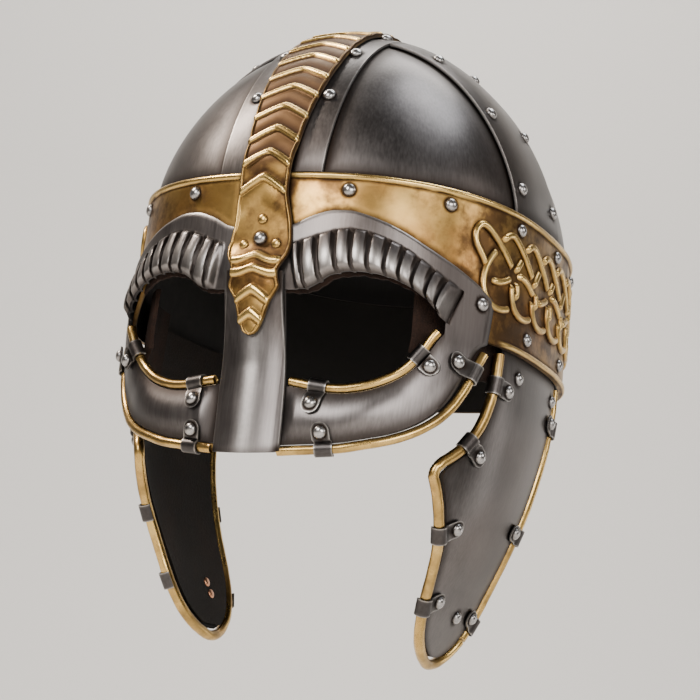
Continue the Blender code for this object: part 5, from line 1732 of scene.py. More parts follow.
@dataclass
class Mask:
    """The steel spectacle mask, its nasal and the suede behind its brows."""

    face: FaceForm
    flute_deep: float = 1.9 * MM
    brow_bulge: float = 3.0 * MM
    brow_roll: float = 2.2 * MM
    step_up: float = 0.7 * MM
    lining_wall: float = 1.6 * MM
    lining_show: float = 1.2 * MM
    temple_rivet: tuple[float, float] = (101.0 * MM, 16.8 * MM)
    temple_out: float = 2.3 * MM
    temple_round: float = 3.4 * MM
    nasal_taper: float = 0.12
    nasal_shift: float = 1.4 * MM
    nasal_foot_shift: float = 1.6 * MM
    nasal_slant: float = 0.055
    nasal_bow: float = 1.7 * MM
    fan: Table = (
        (0.000, 0.000, 0.000), (0.093, 0.166, 0.166), (0.170, 0.218, 0.215), (0.235, 0.279, 0.285),
        (0.308, 0.352, 0.355), (0.396, 0.436, 0.430), (0.476, 0.504, 0.505), (0.560, 0.577, 0.580),
        (0.646, 0.649, 0.650), (0.712, 0.710, 0.722), (0.771, 0.767, 0.785), (0.833, 0.823, 0.845),
        (0.880, 0.862, 0.890), (0.937, 0.893, 0.925), (0.970, 0.950, 0.968), (1.000, 1.000, 1.000))
    first_groove: int = 3
    last_groove: int = 13
    top_rows: int = 9
    flute_rows: int = 26
    eye_rows: int = 12
    low_rows: int = 24
    rim_round: float = 0.5 * MM
    rim_wear: float = 0.7
    groove_width: float = 0.235
    groove_taper: float = 0.115
    last_width: float = 0.11
    pleat_rise: float = 0.8 * MM
    groove_line_shade: float = 0.95
    step_shade: float = 0.55
    eye_edge_shade: float = 0.62
    low_edge_shade: float = 0.72
    low_reach: float = 9.5 * MM
    nose_shade: float = 0.80
    nose_reach: float = 11.0 * MM
    temple_shade: float = 0.52

    def build_mask(self, finishes: Finishes) -> None:
        """Make the mask.

        Args:
            finishes: The materials.
        """
        face = self.face
        first, corner = self.fan[1][0], self.fan[self.last_groove][0]
        middle = np.linspace(0.0, first, 9)[:-1]
        ends = [row[0] for row in self.fan[1:self.last_groove + 1]]
        fluted = [np.linspace(low, high, 17)[:-1] for low, high in zip(ends, ends[1:])]
        beyond = np.linspace(corner, 1.0, 15)
        at = np.concatenate([middle] + fluted + [beyond])
        at = np.concatenate((-at[:0:-1], at))
        side, at = np.where(at < 0.0, -1.0, 1.0), np.abs(at)
        top_x = face.mask_half * at
        eye_x = face.mask_half * between(at, self.fan, 1)
        low_x = face.mask_half * between(at, self.fan, 2)
        top = face.edge(face.top_edge, top_x, face.mask_rise)
        flute = face.edge(face.flute_edge, top_x, face.flute_rise)
        eye_top = face.edge(face.eye_top_edge, eye_x, face.eye_rise)
        beyond_out = self.temple_out * ease((at - corner) / (1.0 - corner))
        top = top - self.temple_round * np.clip((at - 0.95) / 0.05, 0.0, 1.0) ** 2.5
        top_x, eye_x, low_x = top_x + beyond_out, eye_x + 0.8 * beyond_out, low_x + 0.7 * beyond_out
        eye_low = face.edge(face.eye_low_edge, eye_x, -face.eye_drop)
        eye_low = np.where(at >= corner - 1e-4, eye_top, np.minimum(eye_low, eye_top))
        low = face.edge(face.low_edge, low_x, -face.mask_drop) - 3.0 * MM * ease((at - 0.97) / 0.03)
        groove_at = [row[0] for row in self.fan[self.first_groove:self.last_groove + 1]]
        phase = np.interp(at, groove_at, np.arange(len(groove_at), dtype=float))
        phase = np.where(at < groove_at[0], (at - groove_at[0]) / (groove_at[1] - groove_at[0]), phase)
        phase = np.where(at > corner, len(groove_at) - 1.0 + (at - corner) / 0.05, phase)
        last_one = len(groove_at) - 1.0
        beside = ease((top_x - 17.0 * MM) / (4.0 * MM))
        fade = ease((corner + 0.055 - at) / 0.05) * beside
        step_fade = ease((corner + 0.01 - at) / 0.04) * beside
        xs, hs, outs, shade_rows, wears = [], [], [], [], []

        def row(x: Array, height: Array, out: Array, shade_and_grime: Array, wear: Array) -> None:
            """Keep one row of points."""
            for kept, value in zip((xs, hs, outs, shade_rows, wears), (x, height, out, shade_and_grime, wear)):
                kept.append(np.broadcast_to(value, at.shape))

        for share in np.linspace(0.0, 1.0, self.top_rows):
            edge = fading(share * (top - flute), 1.2 * MM)
            rounding = -self.rim_round * fading(share * (top - flute), 0.7 * MM)
            # Painted shade just above the step where the flutes start, and along the top edge.
            shade = 0.70 * ease((share - 0.86) / 0.14) * step_fade + 0.12 * fading(share, 0.3)
            row(top_x, top + (flute - top) * share, rounding, shade, self.rim_wear * edge)
        for step in range(1, self.flute_rows + 1):
            share = step / self.flute_rows
            height = flute + (eye_top - flute) * share
            x = top_x + (eye_x - top_x) * share
            down = share * (flute - eye_top)
            off = np.abs(phase - np.clip(np.round(phase), 0.0, last_one))
            width = self.groove_width - self.groove_taper * share ** 1.2
            width = np.where(np.round(phase) >= last_one, self.last_width, width)
            groove = fading(off / width - 0.5, 0.5)
            start = ease(down / (1.2 * MM))
            edge_in = fading((1.0 - share) * (flute - eye_top), 3.0 * MM) * self.brow_roll
            belly = self.brow_bulge * np.sin(math.pi * 0.66 * share) * step_fade
            between_grooves = np.clip(phase - np.floor(phase) - 0.5, -0.5, 0.5)
            pleat = self.pleat_rise * np.cos(between_grooves * math.pi) * start * step_fade
            deep = self.flute_deep * groove * start * (1.0 - 0.35 * share)
            out = (self.step_up * start * step_fade - deep + pleat - edge_in * step_fade) * fade + belly
            # Painted shade in the grooves, under the step and along the eye's edge.
            lines = bump((off / width - 0.85) / 0.32)
            inner_shade = (0.86 - 0.30 * share) * groove
            by_step = self.step_shade * fading(down, 1.6 * MM)
            by_eye = self.eye_edge_shade * fading((1.0 - share) * (flute - eye_top), 2.6 * MM) * step_fade
            shade = np.maximum.reduce([self.groove_line_shade * lines, inner_shade, by_step]) * fade
            shade = np.maximum(shade, by_eye)
            # Painted highlight on the pleats' lower halves, carried in the wear tone.
            painted_highlight = bump((share - 0.62) / 0.42) * (1.0 - groove)
            row(x, height, out, shade, 0.55 * painted_highlight * (1.0 - lines) * step_fade)
        last = -self.brow_roll * step_fade
        inside = at < corner - 1e-4
        for step in range(1, self.eye_rows):
            share = step / self.eye_rows
            # Painted shade on the rows round the eye opening, up to its outer corner.
            row(eye_x, eye_top + (eye_low - eye_top) * share, last * (1.0 - share), 0.5 * inside, 0.0)
        for step in range(self.low_rows + 1):
            share = step / self.low_rows
            x = eye_x + (low_x - eye_x) * share
            height = eye_low + (low - eye_low) * share
            span = eye_low - low
            near = np.minimum(share, 1.0 - share) * span
            near = np.where(at >= corner, (1.0 - share) * span, near)
            # Painted shade toward the lower mask's edges and beside the nasal.
            shade = self.low_edge_shade * fading(near, self.low_reach) * (1.0 - 0.6 * ease((at - corner) / 0.03))
            beside_nose = self.nose_shade * fading(np.abs(x) - face.nasal_half, self.nose_reach)
            row(x, height, face.swell(x, height), np.maximum(shade, beside_nose), 0.0)
        x, height = np.stack(xs) * side, np.stack(hs)
        shade_and_grime, wear = np.stack(shade_rows), np.stack(wears)
        outer = face.mask(x, height, face.mask_seat + face.mask_wall + np.stack(outs))
        deep = np.minimum(np.stack(outs), 0.0)
        inner = face.mask(x, height, face.mask_seat + np.maximum(np.stack(outs) - 0.3 * deep, -0.2 * MM))
        rivets = Rivets("temple_rivets", "mask")
        for word in Side:
            rivets.set(lambda a, b, out: face.mask(a, b, face.mask_seat + face.mask_wall + out),
                       word.value * self.temple_rivet[0], self.temple_rivet[1])
        shade_and_grime = np.maximum(shade_and_grime, rivets.shade(outer, 1.9))
        # Painted shade round the temple rivets and toward the temple.
        temple = ease((np.abs(x) - 66.0 * MM) / (24.0 * MM)) * ease((height + 20.0 * MM) / (16.0 * MM))
        shade_and_grime = np.maximum(shade_and_grime, self.temple_shade * temple)
        eye_row = self.top_rows + self.flute_rows - 1
        skip = np.zeros((outer.shape[0] - 1, outer.shape[1] - 1), dtype=bool)
        nearest, farthest = np.minimum(at[:-1], at[1:]), np.maximum(at[:-1], at[1:])
        skip[eye_row:eye_row + self.eye_rows, (nearest >= first - 1e-6) & (farthest <= corner + 1e-6)] = True
        shell = Shell()
        shell.wall(outer, inner, tone_pair(shade_and_grime, wear), skip)
        piece = shell.make("shown_mask", finishes.mask, 0.3 * MM)
        weld = piece.modifiers.new("closing", "WELD")
        weld.merge_threshold = 0.01 * MM
        piece.modifiers.move(1, 0)
        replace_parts(piece, "mask")
        rivets.build(finishes.rivet)

    def build_nasal(self, finishes: Finishes) -> None:
        """Make the strip down the nose.

        Args:
            finishes: The materials.
        """
        face = self.face
        height = np.linspace(face.nasal_top, -face.nasal_drop, 81)[:, None]
        share = np.sin(np.linspace(-0.5, 0.5, 31) * math.pi)[None, :]
        narrow = 1.0 - self.nasal_taper * ease((height + 45.0 * MM) / (60.0 * MM))
        sunk = ease(-height / face.nasal_drop)
        x = (face.nasal_half - 0.2 * MM) * share * narrow + self.nasal_shift + self.nasal_foot_shift * sunk
        edge = face.nasal_half * narrow * (1.0 - np.abs(share))
        foot = height + face.nasal_drop
        # Painted shade along the edges where the nasal meets the mask and at its top under the crest; darker
        # toward the foot.
        shade_and_grime = 0.5 * fading(edge, 5.0 * MM) + 0.45 * fading(foot, 5.0 * MM)
        top = 0.85 * ease((height - 4.0 * MM) / (8.0 * MM))
        # Worn edges, and a painted highlight in a stripe down the right of the middle.
        wear = np.maximum(0.8 * fading(edge, 0.8 * MM), 0.30 * bump((x - 4.0 * MM) / (9.0 * MM)))
        height = height + sunk * (self.nasal_slant * x - self.nasal_bow * (1.0 - share ** 2))
        outer = face.nasal(x, height, face.mask_wall)
        inner = face.nasal(x, height, 0.0)
        shell = Shell()
        shell.wall(outer, inner, tone_pair(np.maximum(shade_and_grime, top), wear))
        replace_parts(shell.make("shown_nasal", finishes.mask, 0.4 * MM), "nasal")

    def build_lining(self, finishes: Finishes) -> None:
        """Make the suede strip behind the brow edges.

        Args:
            finishes: The materials.
        """
        face = self.face
        reach = 0.86 * face.mask_half * self.fan[self.last_groove][1]
        x = np.linspace(-reach, reach, 121)[None, :]
        low = face.edge(face.eye_top_edge, x, face.eye_rise) - self.lining_show
        low = low - 0.5 * MM * np.sin(x * 900.0) * np.sin(x * 371.0)
        high = face.head.arch(x) - 3.0 * MM
        height = low + (high - low) * np.linspace(0.0, 1.0, 10)[:, None]
        behind = face.mask_seat - face.head.seam - 0.5 * MM
        shape = x + 0.0 * height
        outer = face.mask(shape, height, behind)
        inner = face.mask(shape, height, behind - self.lining_wall)
        shell = Shell()
        shell.wall(outer, inner, np.zeros(shape.shape + (2,)))
        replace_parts(shell.make("shown_brow_lining", finishes.suede, 0.3 * MM), "brow_lining")

    def build(self, finishes: Finishes) -> None:
        """Make the mask, the nasal and the suede.

        Args:
            finishes: The materials.
        """
        self.build_mask(finishes)
        self.build_nasal(finishes)
        self.build_lining(finishes)


@dataclass
class Edging:
    """The brass tubes along the mask and the cheek plates."""

    face: FaceForm
    face_radius: float = 2.45 * MM
    cheek_radius: float = 2.8 * MM
    sides: int = 18
    step: float = 1.6 * MM
    slant: Triple = (0.3, 0.5, 0.81)
    end_mouth: float = 0.55
    end_lip: float = 0.9
    end_depth: float = 0.9 * MM
    wear: float = 0.16
    patina: float = 0.12
    eye_span: tuple[float, float] = (0.18, 0.885)
    mask_span: tuple[float, float] = (0.18, 0.985)
    tip_place: float = 0.12
    outline: Table = (
        (-0.040, -0.58, 0.93), (0.010, -0.58, 0.92), (0.085, -0.59, 0.88), (0.155, -0.61, 0.85),
        (0.220, -0.64, 0.81), (0.280, -0.69, 0.78), (0.345, -0.79, 0.75), (0.420, -1.00, 0.73),
        (0.480, -0.90, 0.72), (0.560, -0.78, 0.70), (0.640, -0.66, 0.69), (0.735, -0.56, 0.68),
        (0.830, -0.48, 0.65), (0.915, -0.34, 0.55), (0.965, -0.16, 0.40), (0.990, 0.01, 0.27))

    def eye_line(self) -> Array:
        """Middle line of the eye tube, as distance from the middle and height.

        Returns:
            Points of the line.
        """
        face = self.face
        x = np.linspace(*self.eye_span, 60) * face.mask_half
        edge = np.stack((x, face.edge(face.eye_low_edge, x, -face.eye_drop)), axis=1)
        line = sideways(edge, self.face_radius + face.head.seam)
        return line[line[:, 0] > face.nasal_half + self.face_radius]

    def mask_line(self) -> Array:
        """Middle line of the tube under the mask.

        Returns:
            Points of the line.
        """
        face = self.face
        x = np.linspace(*self.mask_span, 80) * face.mask_half
        edge = np.stack((x, face.edge(face.low_edge, x, -face.mask_drop)), axis=1)
        return sideways(edge, -self.face_radius - face.head.seam)

    def cheek_line(self, side: Side) -> Array:
        """Middle line of the cheek tube, as fore and aft place and height.

        Args:
            side: Side of the wearer.

        Returns:
            Points of the line.
        """
        face = self.face
        lift = face.right_lift if side is Side.RIGHT else 0.0
        rows = np.array(self.outline)
        front = np.stack((rows[:, 1] * face.cheek_reach, lift - rows[:, 0] * face.cheek_length), axis=1)
        back = np.stack((rows[:, 2] * face.cheek_reach, lift - rows[:, 0] * face.cheek_length), axis=1)
        front[1, 1] = back[1, 1] = -self.cheek_radius
        tip = np.array([[self.tip_place * face.cheek_reach, lift - face.cheek_length]])
        return np.vstack((front[1:], tip, back[:0:-1]))

    def tube(self, name: str, line: Array, radius: float, finish: Material) -> None:
        """Make one tube along a line in space.

        Args:
            name: Name of the CAD node that it stands for.
            line: Points of its middle line.
            radius: Its radius.
            finish: Its material.
        """
        line = spaced(softened(line, 2), self.step)
        ahead = unit(np.gradient(line, axis=0))
        side = unit(np.cross(ahead, self.slant))
        other = np.cross(ahead, side)
        around = np.linspace(0.0, 2.0 * math.pi, self.sides, endpoint=False)
        shell = Shell()
        rings = []
        last = len(line) - 1
        ends = [(0, self.end_mouth, self.end_depth), (0, self.end_lip, 0.0)]
        ends += [(place, 1.0, 0.0) for place in range(last + 1)]
        ends += [(last, self.end_lip, 0.0), (last, self.end_mouth, -self.end_depth)]
        for place, share, lift in ends:
            wobble = 1.0 + 0.012 * math.sin(place * 0.9) + 0.01 * math.sin(place * 0.37)
            circle = np.cos(around)[:, None] * side[place] + np.sin(around)[:, None] * other[place]
            rings.append(line[place] + ahead[place] * lift + circle * radius * share * wobble)
        points = np.stack(rings)
        rows = points.shape[0]
        faces = as_faces(tube_faces(rows, self.sides))
        faces.append(tuple(reversed(range(self.sides))))
        faces.append(tuple(range((rows - 1) * self.sides, rows * self.sides)))
        tones = np.zeros((rows, self.sides, 4))
        tones[..., 1] = self.wear
        tones[..., 3] = self.patina
        # The tube mouths are painted dark as painted shade.
        tones[0, :, 0] = tones[-1, :, 0] = 0.9
        shell.add(points, tones, faces)
        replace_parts(shell.make("shown_" + name, finish), name)

    def build(self, finishes: Finishes) -> None:
        """Make the six tubes.

        Args:
            finishes: The materials.
        """
        face = self.face
        middle = face.mask_seat + face.mask_wall / 2.0
        for side in Side:
            for word, flat in (("eye_tube_", self.eye_line()), ("mask_tube_", self.mask_line())):
                line = face.mask(side.value * flat[:, 0], flat[:, 1], np.full(len(flat), middle))
                self.tube(word + side.word, line, self.face_radius, finishes.tube)
            flat = self.cheek_line(side)
            line = face.cheek(flat[:, 0], flat[:, 1], np.full(len(flat), -face.cheek_wall / 2.0), side.value)
            self.tube("cheek_tube_" + side.word, line, self.cheek_radius, finishes.tube)


@dataclass
class CheekPlates:
    """The two hanging steel cheek plates, with the leather behind them."""

    face: FaceForm
    edging: Edging
    top: float = 7.0 * MM
    seam: float = 0.5 * MM
    lining_top: float = 12.0 * MM
    lining_inset: float = 2.4 * MM
    lining_seat: float = 0.8 * MM
    lining_wall: float = 1.6 * MM
    hinge_drop: float = -11.0 * MM
    chin_drop: float = -132.0 * MM
    chin_back: float = 11.0 * MM
    edge_shade: float = 0.62
    edge_reach: float = 8.0 * MM
    tab_top: float = 20.0 * MM
    tab_edge: Table = ((-78.0 * MM, -12.0 * MM), (-60.0 * MM, -20.0 * MM), (-22.0 * MM, -16.0 * MM))
    back_places: Table = ((13.0 * MM, -128.0 * MM), (15.0 * MM, -134.0 * MM))

    def edges(self, side: Side, inset: float, top: float, trim: float) -> tuple[Array, Array, Array]:
        """Heights of the plate's rows with its front and back places there.

        Args:
            side: Side of the wearer.
            inset: How far the line is moved inward.
            top: Height of the first row.
            trim: How much narrower the sheet is.

        Returns:
            Heights, front places and back places.
        """
        flat = softened(sideways(self.edging.cheek_line(side), inset), 2)
        lowest = int(np.argmin(flat[:, 1]))
        front, back = flat[:lowest + 1][::-1], flat[lowest:]
        heights = np.linspace(top, flat[lowest, 1] + 0.6 * MM + trim, 110)
        front_y = np.interp(heights, front[:, 1], front[:, 0])
        back_y = np.interp(heights, back[:, 1], back[:, 0])
        cut = np.minimum(trim, 0.2 * (back_y - front_y))
        return heights, front_y + cut, back_y - cut

    def grid(self, side: Side, rows: tuple[Array, Array, Array], out: float) -> Array:
        """Points of a sheet inside the tube.

        Args:
            side: Side of the wearer.
            rows: Heights, front places and back places.
            out: Distance outward.

        Returns:
            The points.
        """
        heights, front, back = (part[:, None] for part in rows)
        share = (0.5 + 0.5 * np.sin(np.linspace(-0.5, 0.5, 61) * math.pi))[None, :]
        y = front + (back - front) * share
        return self.face.cheek(y, heights + 0.0 * y, np.full(y.shape, out), side.value)

    def build_one(self, side: Side, finishes: Finishes) -> None:
        """Make one cheek plate and its leather.

        Args:
            side: Side of the wearer.
            finishes: The materials.
        """
        face = self.face

        def surface(first: Array, second: Array, out: Array) -> Array:
            """The plate's outer face."""
            return face.cheek(first, second, out, side.value)

        lift = face.right_lift if side is Side.RIGHT else 0.0
        rivets = Rivets("cheek_rivets_" + side.word, "cheek_plate_" + side.word)
        for place in face.hinge_places:
            rivets.set(surface, place, self.hinge_drop)
        rivets.set(surface, self.chin_back, lift + self.chin_drop)
        rows = self.edges(side, self.edging.cheek_radius + self.seam, self.top, 0.0)
        outer = self.grid(side, rows, 0.0)
        heights, front, back = (part[:, None] for part in rows)
        edge = np.minimum(outer[..., 1] - front, back - outer[..., 1])
        # Painted shade along the edge by the tube, round the rivets, and toward the top under the brow band.
        shade_and_grime = np.maximum(self.edge_shade * fading(edge, self.edge_reach), rivets.shade(outer, 1.9))
        shade_and_grime = np.maximum(shade_and_grime, 0.8 * ease((heights + 8.0 * MM) / (10.0 * MM)))
        shell = Shell()
        shell.wall(outer, self.grid(side, rows, -face.cheek_wall), tone_pair(shade_and_grime))
        name = "cheek_plate_" + side.word
        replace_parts(shell.make("shown_" + name, finishes.steel, 0.3 * MM), name)
        rivets.build(finishes.rivet)
        rows = self.edges(side, self.edging.cheek_radius + self.seam, self.lining_top, self.lining_inset)
        behind = -face.cheek_wall - self.lining_seat
        leather = Shell()
        leather.wall(self.grid(side, rows, behind), self.grid(side, rows, behind - self.lining_wall),
                     np.zeros(outer.shape[:2] + (2,)))
        name = "cheek_lining_" + side.word
        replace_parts(leather.make("shown_" + name, finishes.leather, 0.4 * MM), name)
        backs = Rivets("cheek_rivet_backs_" + side.word, name, 2.6 * MM, 0.9 * MM)
        for y, drop in self.back_places:
            at = surface(np.array(y), np.array(lift + drop), np.array(behind - self.lining_wall))
            backs.centres.append(at)
            backs.normals.append(-normal_at(surface, y, lift + drop))
        backs.build(finishes.copper)

    def build_tab(self, side: Side, finishes: Finishes) -> None:
        """Make the leather inside the temple, which carries the plate from the band.

        Args:
            side: Side of the wearer.
            finishes: The materials.
        """
        y = np.linspace(self.tab_edge[0][0], self.tab_edge[-1][0], 41)[None, :]
        low = between(y, self.tab_edge)
        low = low + 0.4 * MM * np.sin(y * 1100.0) * np.sin(y * 437.0)
        height = low + (self.tab_top - low) * np.linspace(0.0, 1.0, 13)[:, None]
        y = y + 0.0 * height
        seat = -self.face.cheek_wall - 2.0 * self.lining_seat - self.lining_wall
        outer = self.face.cheek(y, height, np.full(y.shape, seat), side.value)
        inner = self.face.cheek(y, height, np.full(y.shape, seat - self.lining_wall), side.value)
        shell = Shell()
        shell.wall(outer, inner, np.zeros(y.shape + (2,)))
        piece = shell.make("temple_leather_" + side.word, finishes.suede, 0.3 * MM)

    def build(self, finishes: Finishes) -> None:
        """Make both sides.

        Args:
            finishes: The materials.
        """
        for side in Side:
            self.build_one(side, finishes)
            self.build_tab(side, finishes)


@dataclass
class Clips:
    """The steel clips that hold the tubes, each with one rivet."""

    face: FaceForm
    edging: Edging
    wall: float = 1.0 * MM
    half: float = 4.5 * MM
    seat: float = 0.8 * MM
    grip: float = 0.4 * MM
    bow: float = 0.45 * MM
    reach: float = 9.5 * MM
    tab: float = 4.8 * MM
    wrap: float = 215.0
    lift: float = 36.0
    mask_reach: float = 8.0 * MM
    eye_places: Table = ((0.176, 0.825), (0.134, 0.825))
    mask_places: Table = ((0.189, 0.905), (0.095, 0.905))
    cheek_places: tuple[float, ...] = (0.044, 0.135, 0.292, 0.395, 0.637, 0.777, 0.94)

    def walk(self, surface: Surface, start: Array, direction: Array, distance: float) -> Array:
        """Place on a surface at a straight distance from a start.

        Args:
            surface: The surface.
            start: Place to start from.
            direction: Direction over the surface's two places.
            distance: Straight distance to go.

        Returns:
            The place reached.
        """
        origin = surface(start[0], start[1], np.array(0.0))
        low, high = 0.0, 3.0 * distance
        for _ in range(36):
            middle = (low + high) / 2.0
            there = start + direction * middle
            if np.linalg.norm(surface(there[0], there[1], np.array(0.0)) - origin) > distance:
                high = middle
            else:
                low = middle
        return start + direction * (low + high) / 2.0

    def build_one(self, name: str, surface: Surface, flat: Array, share: float, radius: float,
                  inward: float, face_out: float, reach: float, finishes: Finishes) -> None:
        """Make one clip.

        Args:
            name: Name of the CAD node that it stands for.
            surface: Surface through the tube's middle line.
            flat: The tube's middle line over that surface's two places.
            share: Where along the tube the clip sits.
            radius: The tube's radius.
            inward: Which side of the line the sheet is on.
            face_out: How far the sheet's outer face stands out from the surface.
            reach: How far the rivet is from the tube.
            finishes: Materials.
        """
        none = np.array(0.0)
        space = surface(flat[:, 0], flat[:, 1], np.zeros(len(flat)))
        lengths = np.concatenate(([0.0], np.cumsum(np.linalg.norm(np.diff(space, axis=0), axis=1))))

        def at(length: float) -> Array:
            """Place on the tube's line."""
            return np.array([np.interp(length, lengths, flat[:, 0]), np.interp(length, lengths, flat[:, 1])])

        middle = share * lengths[-1]
        before, after = at(middle - self.half), at(middle + self.half)
        here = (at(middle) + (before + after) / 2.0) / 2.0
        along = unit(after - before)
        centre = surface(here[0], here[1], none)
        normal = normal_at(surface, here[0], here[1])
        tangent = unit(surface(after[0], after[1], none) - surface(before[0], before[1], none))
        first = surface(here[0] + MM, here[1], none) - centre
        second = surface(here[0], here[1] + MM, none) - centre
        direction = unit(np.array((second @ tangent, -first @ tangent)))
        if (direction @ np.array((-along[1], along[0]))) * inward < 0.0:
            direction = -direction
        ahead = self.walk(surface, here, direction, reach)
        toward = unit(np.cross(normal, tangent))
        if toward @ (surface(ahead[0], ahead[1], none) - centre) < 0.0:
            toward = -toward
        across = np.linspace(-1.0, 1.0, 13)
        low_rows, high_rows, wear_rows = [], [], []
        full = reach + self.tab
        inner = reach - 4.0 * MM
        for distance in np.concatenate((full - self.half * (1.0 - np.cos(np.linspace(0.12, 1.45, 8))),
                                        np.linspace(full - self.half - 0.6 * MM, inner, 4))):
            past = max(distance - (full - self.half), 0.0) / self.half
            width = self.half * math.sqrt(max(1.0 - past * past, 0.02))
            place = self.walk(surface, here, direction, float(distance))
            ends = [self.walk(surface, place, sign * along, width) for sign in (-1.0, 1.0)]
            sides = [surface(end[0], end[1], np.array(face_out + self.seat)) for end in ends]
            tops = [surface(end[0], end[1], np.array(face_out + self.seat + self.wall)) for end in ends]
            part = (0.5 + 0.5 * across)[:, None]
            low_rows.append(sides[0] + (sides[1] - sides[0]) * part)
            high_rows.append(tops[0] + (tops[1] - tops[0]) * part)
            wear_rows.append(np.maximum(ease((np.abs(across) - 0.78) / 0.2), ease((past - 0.82) / 0.15)))
        for turn in np.radians(np.linspace(self.lift, self.wrap, 16)):
            arm = toward * math.cos(turn) + normal * math.sin(turn)
            low = centre + arm * (radius + self.grip)
            high = centre + arm * (radius + self.grip + self.wall)
            side = tangent[None, :] * (self.half * across)[:, None]
            low_rows.append(low + side)
            high_rows.append(high + side)
            wear_rows.append(ease((np.abs(across) - 0.80) / 0.2))
        outer, under = np.stack(high_rows), np.stack(low_rows)
        spot = self.walk(surface, here, direction, reach)
        head = surface(spot[0], spot[1], np.array(face_out + self.seat + self.wall))
        rows_near = np.argmin(np.linalg.norm(outer[:12, 6] - head, axis=1))
        head = outer[rows_near, 6]
        lean = unit(np.cross(outer[max(rows_near - 2, 0), 6] - outer[rows_near + 2, 6], tangent))
        if lean @ normal < 0.0:
            lean = -lean
        rivets = Rivets(name + "_rivet", name, 3.3 * MM, 2.6 * MM, [head], [lean])
        wear = np.stack(wear_rows)
        # Painted shade round the rivet over a quarter darkening all over, left off the worn edges.
        shade_and_grime = np.maximum(rivets.shade(outer, 1.5), 0.25)
        shell = Shell()
        shell.wall(outer, under, tone_pair(shade_and_grime * (1.0 - wear), wear))
        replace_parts(shell.make("shown_" + name, finishes.clip, 0.22 * MM), name)
        rivets.build(finishes.rivet)

    def build(self, finishes: Finishes) -> None:
        """Make every clip of both sides.

        Args:
            finishes: The materials.
        """
        face, edging = self.face, self.edging
        middle = face.mask_seat + face.mask_wall / 2.0
        for place, side in enumerate(Side):
            def on_mask(x: Array, height: Array, out: Array) -> Array:
                """The mask through its tubes' middle lines."""
                return face.mask(side.value * x, height, middle + face.swell(x, height) + out)

            def on_cheek(y: Array, height: Array, out: Array) -> Array:
                """The cheek plate through its tube's middle line."""
                return face.cheek(y, height, out - face.cheek_wall / 2.0, side.value)

            out = face.mask_wall / 2.0 + self.bow
            kinds = (
                ("eye_clip", on_mask, edging.eye_line(), self.eye_places[place], edging.face_radius, -1.0,
                 out, self.reach),
                ("mask_clip", on_mask, edging.mask_line(), self.mask_places[place], edging.face_radius, 1.0,
                 out, self.mask_reach),
                ("cheek_clip", on_cheek, edging.cheek_line(side), self.cheek_places, edging.cheek_radius, 1.0,
                 face.cheek_wall / 2.0, self.reach))
            for word, surface, line, places, radius, inward, face_out, reach in kinds:
                for number, share in enumerate(places, 1):
                    name = "%s_%s_%d" % (word, side.word, number)
                    self.build_one(name, surface, line, share, radius, inward, face_out, reach, finishes)


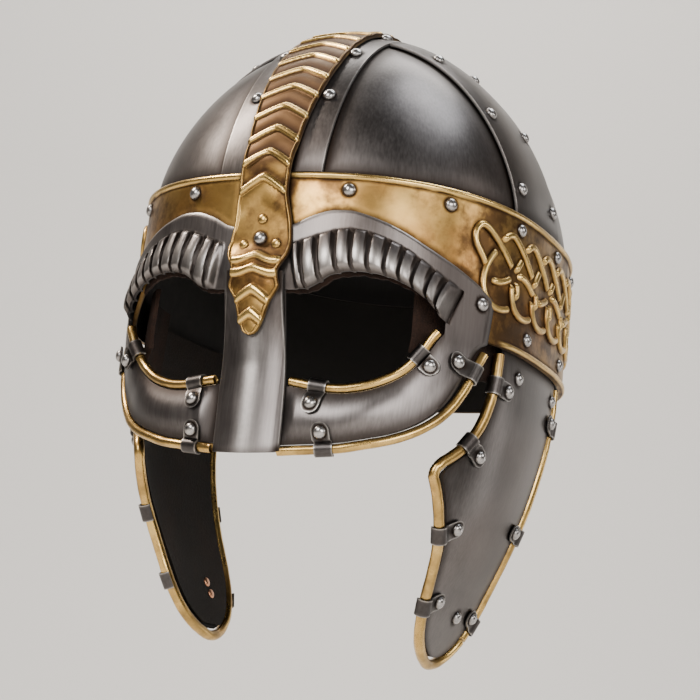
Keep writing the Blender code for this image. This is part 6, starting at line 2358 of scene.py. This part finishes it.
@dataclass(frozen=True)
class Studio:
    """The camera, the lights and the pale floor."""

    azimuth: float = 25.92
    elevation: float = -11.48
    roll: float = 6.42
    distance: float = 1.055
    focal: float = 1950.0
    frame_side: float = 700.0
    sensor: float = 36.0
    target: Triple = (0.0029, 0.0, 0.0063)
    floor_height: float = -0.42

    def axes(self) -> tuple[Vector, Vector, Vector]:
        """The camera's right, up and back directions before its roll.

        Returns:
            The three directions.
        """
        turn, tilt = math.radians(self.azimuth), math.radians(self.elevation)
        back = Vector((math.sin(turn) * math.cos(tilt), -math.cos(turn) * math.cos(tilt), math.sin(tilt)))
        right = Vector((math.cos(turn), math.sin(turn), 0.0))
        return right, back.cross(right), back

    def camera(self) -> None:
        """Set the camera at the photograph's angle."""
        right, up, back = self.axes()
        roll = math.radians(self.roll)
        across = math.cos(roll) * right + math.sin(roll) * up
        above = -math.sin(roll) * right + math.cos(roll) * up
        data = bpy.data.cameras.new("camera")
        data.sensor_width = self.sensor
        data.lens = self.focal * self.sensor / self.frame_side
        made = bpy.data.objects.new("camera", data)
        matrix = Matrix((across, above, back)).transposed().to_4x4()
        matrix.translation = Vector(self.target) + back * self.distance
        made.matrix_world = matrix
        bpy.context.scene.collection.objects.link(made)
        bpy.context.scene.camera = made

    def light(self, lamp: Lamp, across: float, above: float, toward: float, width: float, tall: float,
              power: float, colour: Triple,
              aim: Triple = (0.0, 0.01, 0.0)) -> None:
        """Add one soft area light.

        Args:
            lamp: What it is for.
            across: Place to the camera's right, in metres from the helmet.
            above: Place above the helmet.
            toward: Place toward the camera.
            width: Width of the light.
            tall: Height of the light.
            power: Watts.
            colour: Its colour.
            aim: What it points at, across, above and toward the camera.
        """
        right, _, back = self.axes()
        level = Vector((back.x, back.y, 0.0)).normalized()
        data = bpy.data.lights.new("light_" + lamp.value, "AREA")
        data.shape = "RECTANGLE"
        data.size, data.size_y = width, tall
        data.energy = power
        data.color = colour
        made = bpy.data.objects.new("light_" + lamp.value, data)
        place = right * across + level * toward + Vector((0.0, 0.0, above))
        made.location = place
        spot = right * aim[0] + level * aim[2] + Vector((0.0, 0.0, aim[1]))
        made.rotation_euler = (place - spot).to_track_quat("Z", "Y").to_euler()
        bpy.context.scene.collection.objects.link(made)

    def floor(self) -> None:
        """Lay the floor, which sweeps up behind the helmet."""
        right, _, back = self.axes()
        level = Vector((back.x, back.y, 0.0)).normalized()
        profile = [(6.0, 0.0), (2.0, 0.0), (-1.2, 0.0)]
        profile += [(-1.2 - 1.2 * math.sin(turn), 1.2 - 1.2 * math.cos(turn))
                    for turn in np.linspace(0.15, math.pi / 2.0, 12)]
        profile.append((-2.4, 5.0))
        points = []
        for toward, above in profile:
            for across in (-6.0, 6.0):
                place = right * across + level * toward
                points.append((place.x, place.y, self.floor_height + above))
        faces = [(2 * row, 2 * row + 1, 2 * row + 3, 2 * row + 2) for row in range(len(profile) - 1)]
        mesh = bpy.data.meshes.new("floor")
        mesh.from_pydata(points, [], faces)
        mesh.shade_smooth()
        mesh.materials.append(FloorFinish().dress())
        made = bpy.data.objects.new("floor", mesh)
        bpy.context.scene.collection.objects.link(made)

    def world(self) -> None:
        """Set a dim even surround."""
        world = bpy.data.worlds.new("surround")
        world.use_nodes = True
        backdrop = world.node_tree.nodes["Background"]
        backdrop.inputs["Color"].default_value = (0.30, 0.28, 0.27, 1.0)
        backdrop.inputs["Strength"].default_value = 0.45
        bpy.context.scene.world = world

    def build(self) -> None:
        """Set up everything round the helmet."""
        self.camera()
        self.floor()
        self.world()
        white = (1.0, 0.97, 0.93)
        warm = (1.0, 0.88, 0.76)
        cool = (0.90, 0.95, 1.0)
        self.light(Lamp.KEY, -0.66, 0.50, 1.12, 0.50, 0.6, 13.5, white)
        self.light(Lamp.FRONT, 0.50, 0.16, 1.28, 0.8, 0.46, 12.5, white)
        self.light(Lamp.FLUTES, 1.10, 0.38, 0.42, 0.40, 0.32, 3.5, white)
        self.light(Lamp.SIDE, -0.93, 1.00, 0.02, 0.14, 0.45, 22.0, warm)
        self.light(Lamp.TOP, 0.42, 1.22, 0.06, 0.46, 0.60, 8.5, cool)
        self.light(Lamp.FILL, 1.35, -0.10, -0.45, 0.35, 0.6, 2.0, white)
        self.light(Lamp.CHIN, 0.30, -0.35, 1.20, 0.9, 0.25, 0.8, warm)
        self.light(Lamp.RIM, 1.10, 0.30, -1.20, 0.25, 1.0, 1.0, white)
        self.light(Lamp.WALL, 0.0, 2.2, -0.9, 2.0, 0.6, 60.0, white, (0.0, -0.2, -2.4))


def main() -> None:
    """Build and dress every piece of the helmet."""
    logging.basicConfig(level=logging.INFO, format="%(message)s")
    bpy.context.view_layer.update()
    head = HeadForm()
    face = FaceForm()
    edging = Edging(face)
    finishes = Finishes()
    Studio().build()
    SkullPlates(head).build(finishes)
    StrapBands(head).build(finishes)
    BrowBand(head, face, KnotWork(head)).build(finishes)
    Crest(head, face).build(finishes)
    Mask(face).build(finishes)
    edging.build(finishes)
    CheekPlates(face, edging).build(finishes)
    Clips(face, edging).build(finishes)


if __name__ == "__main__":
    main()
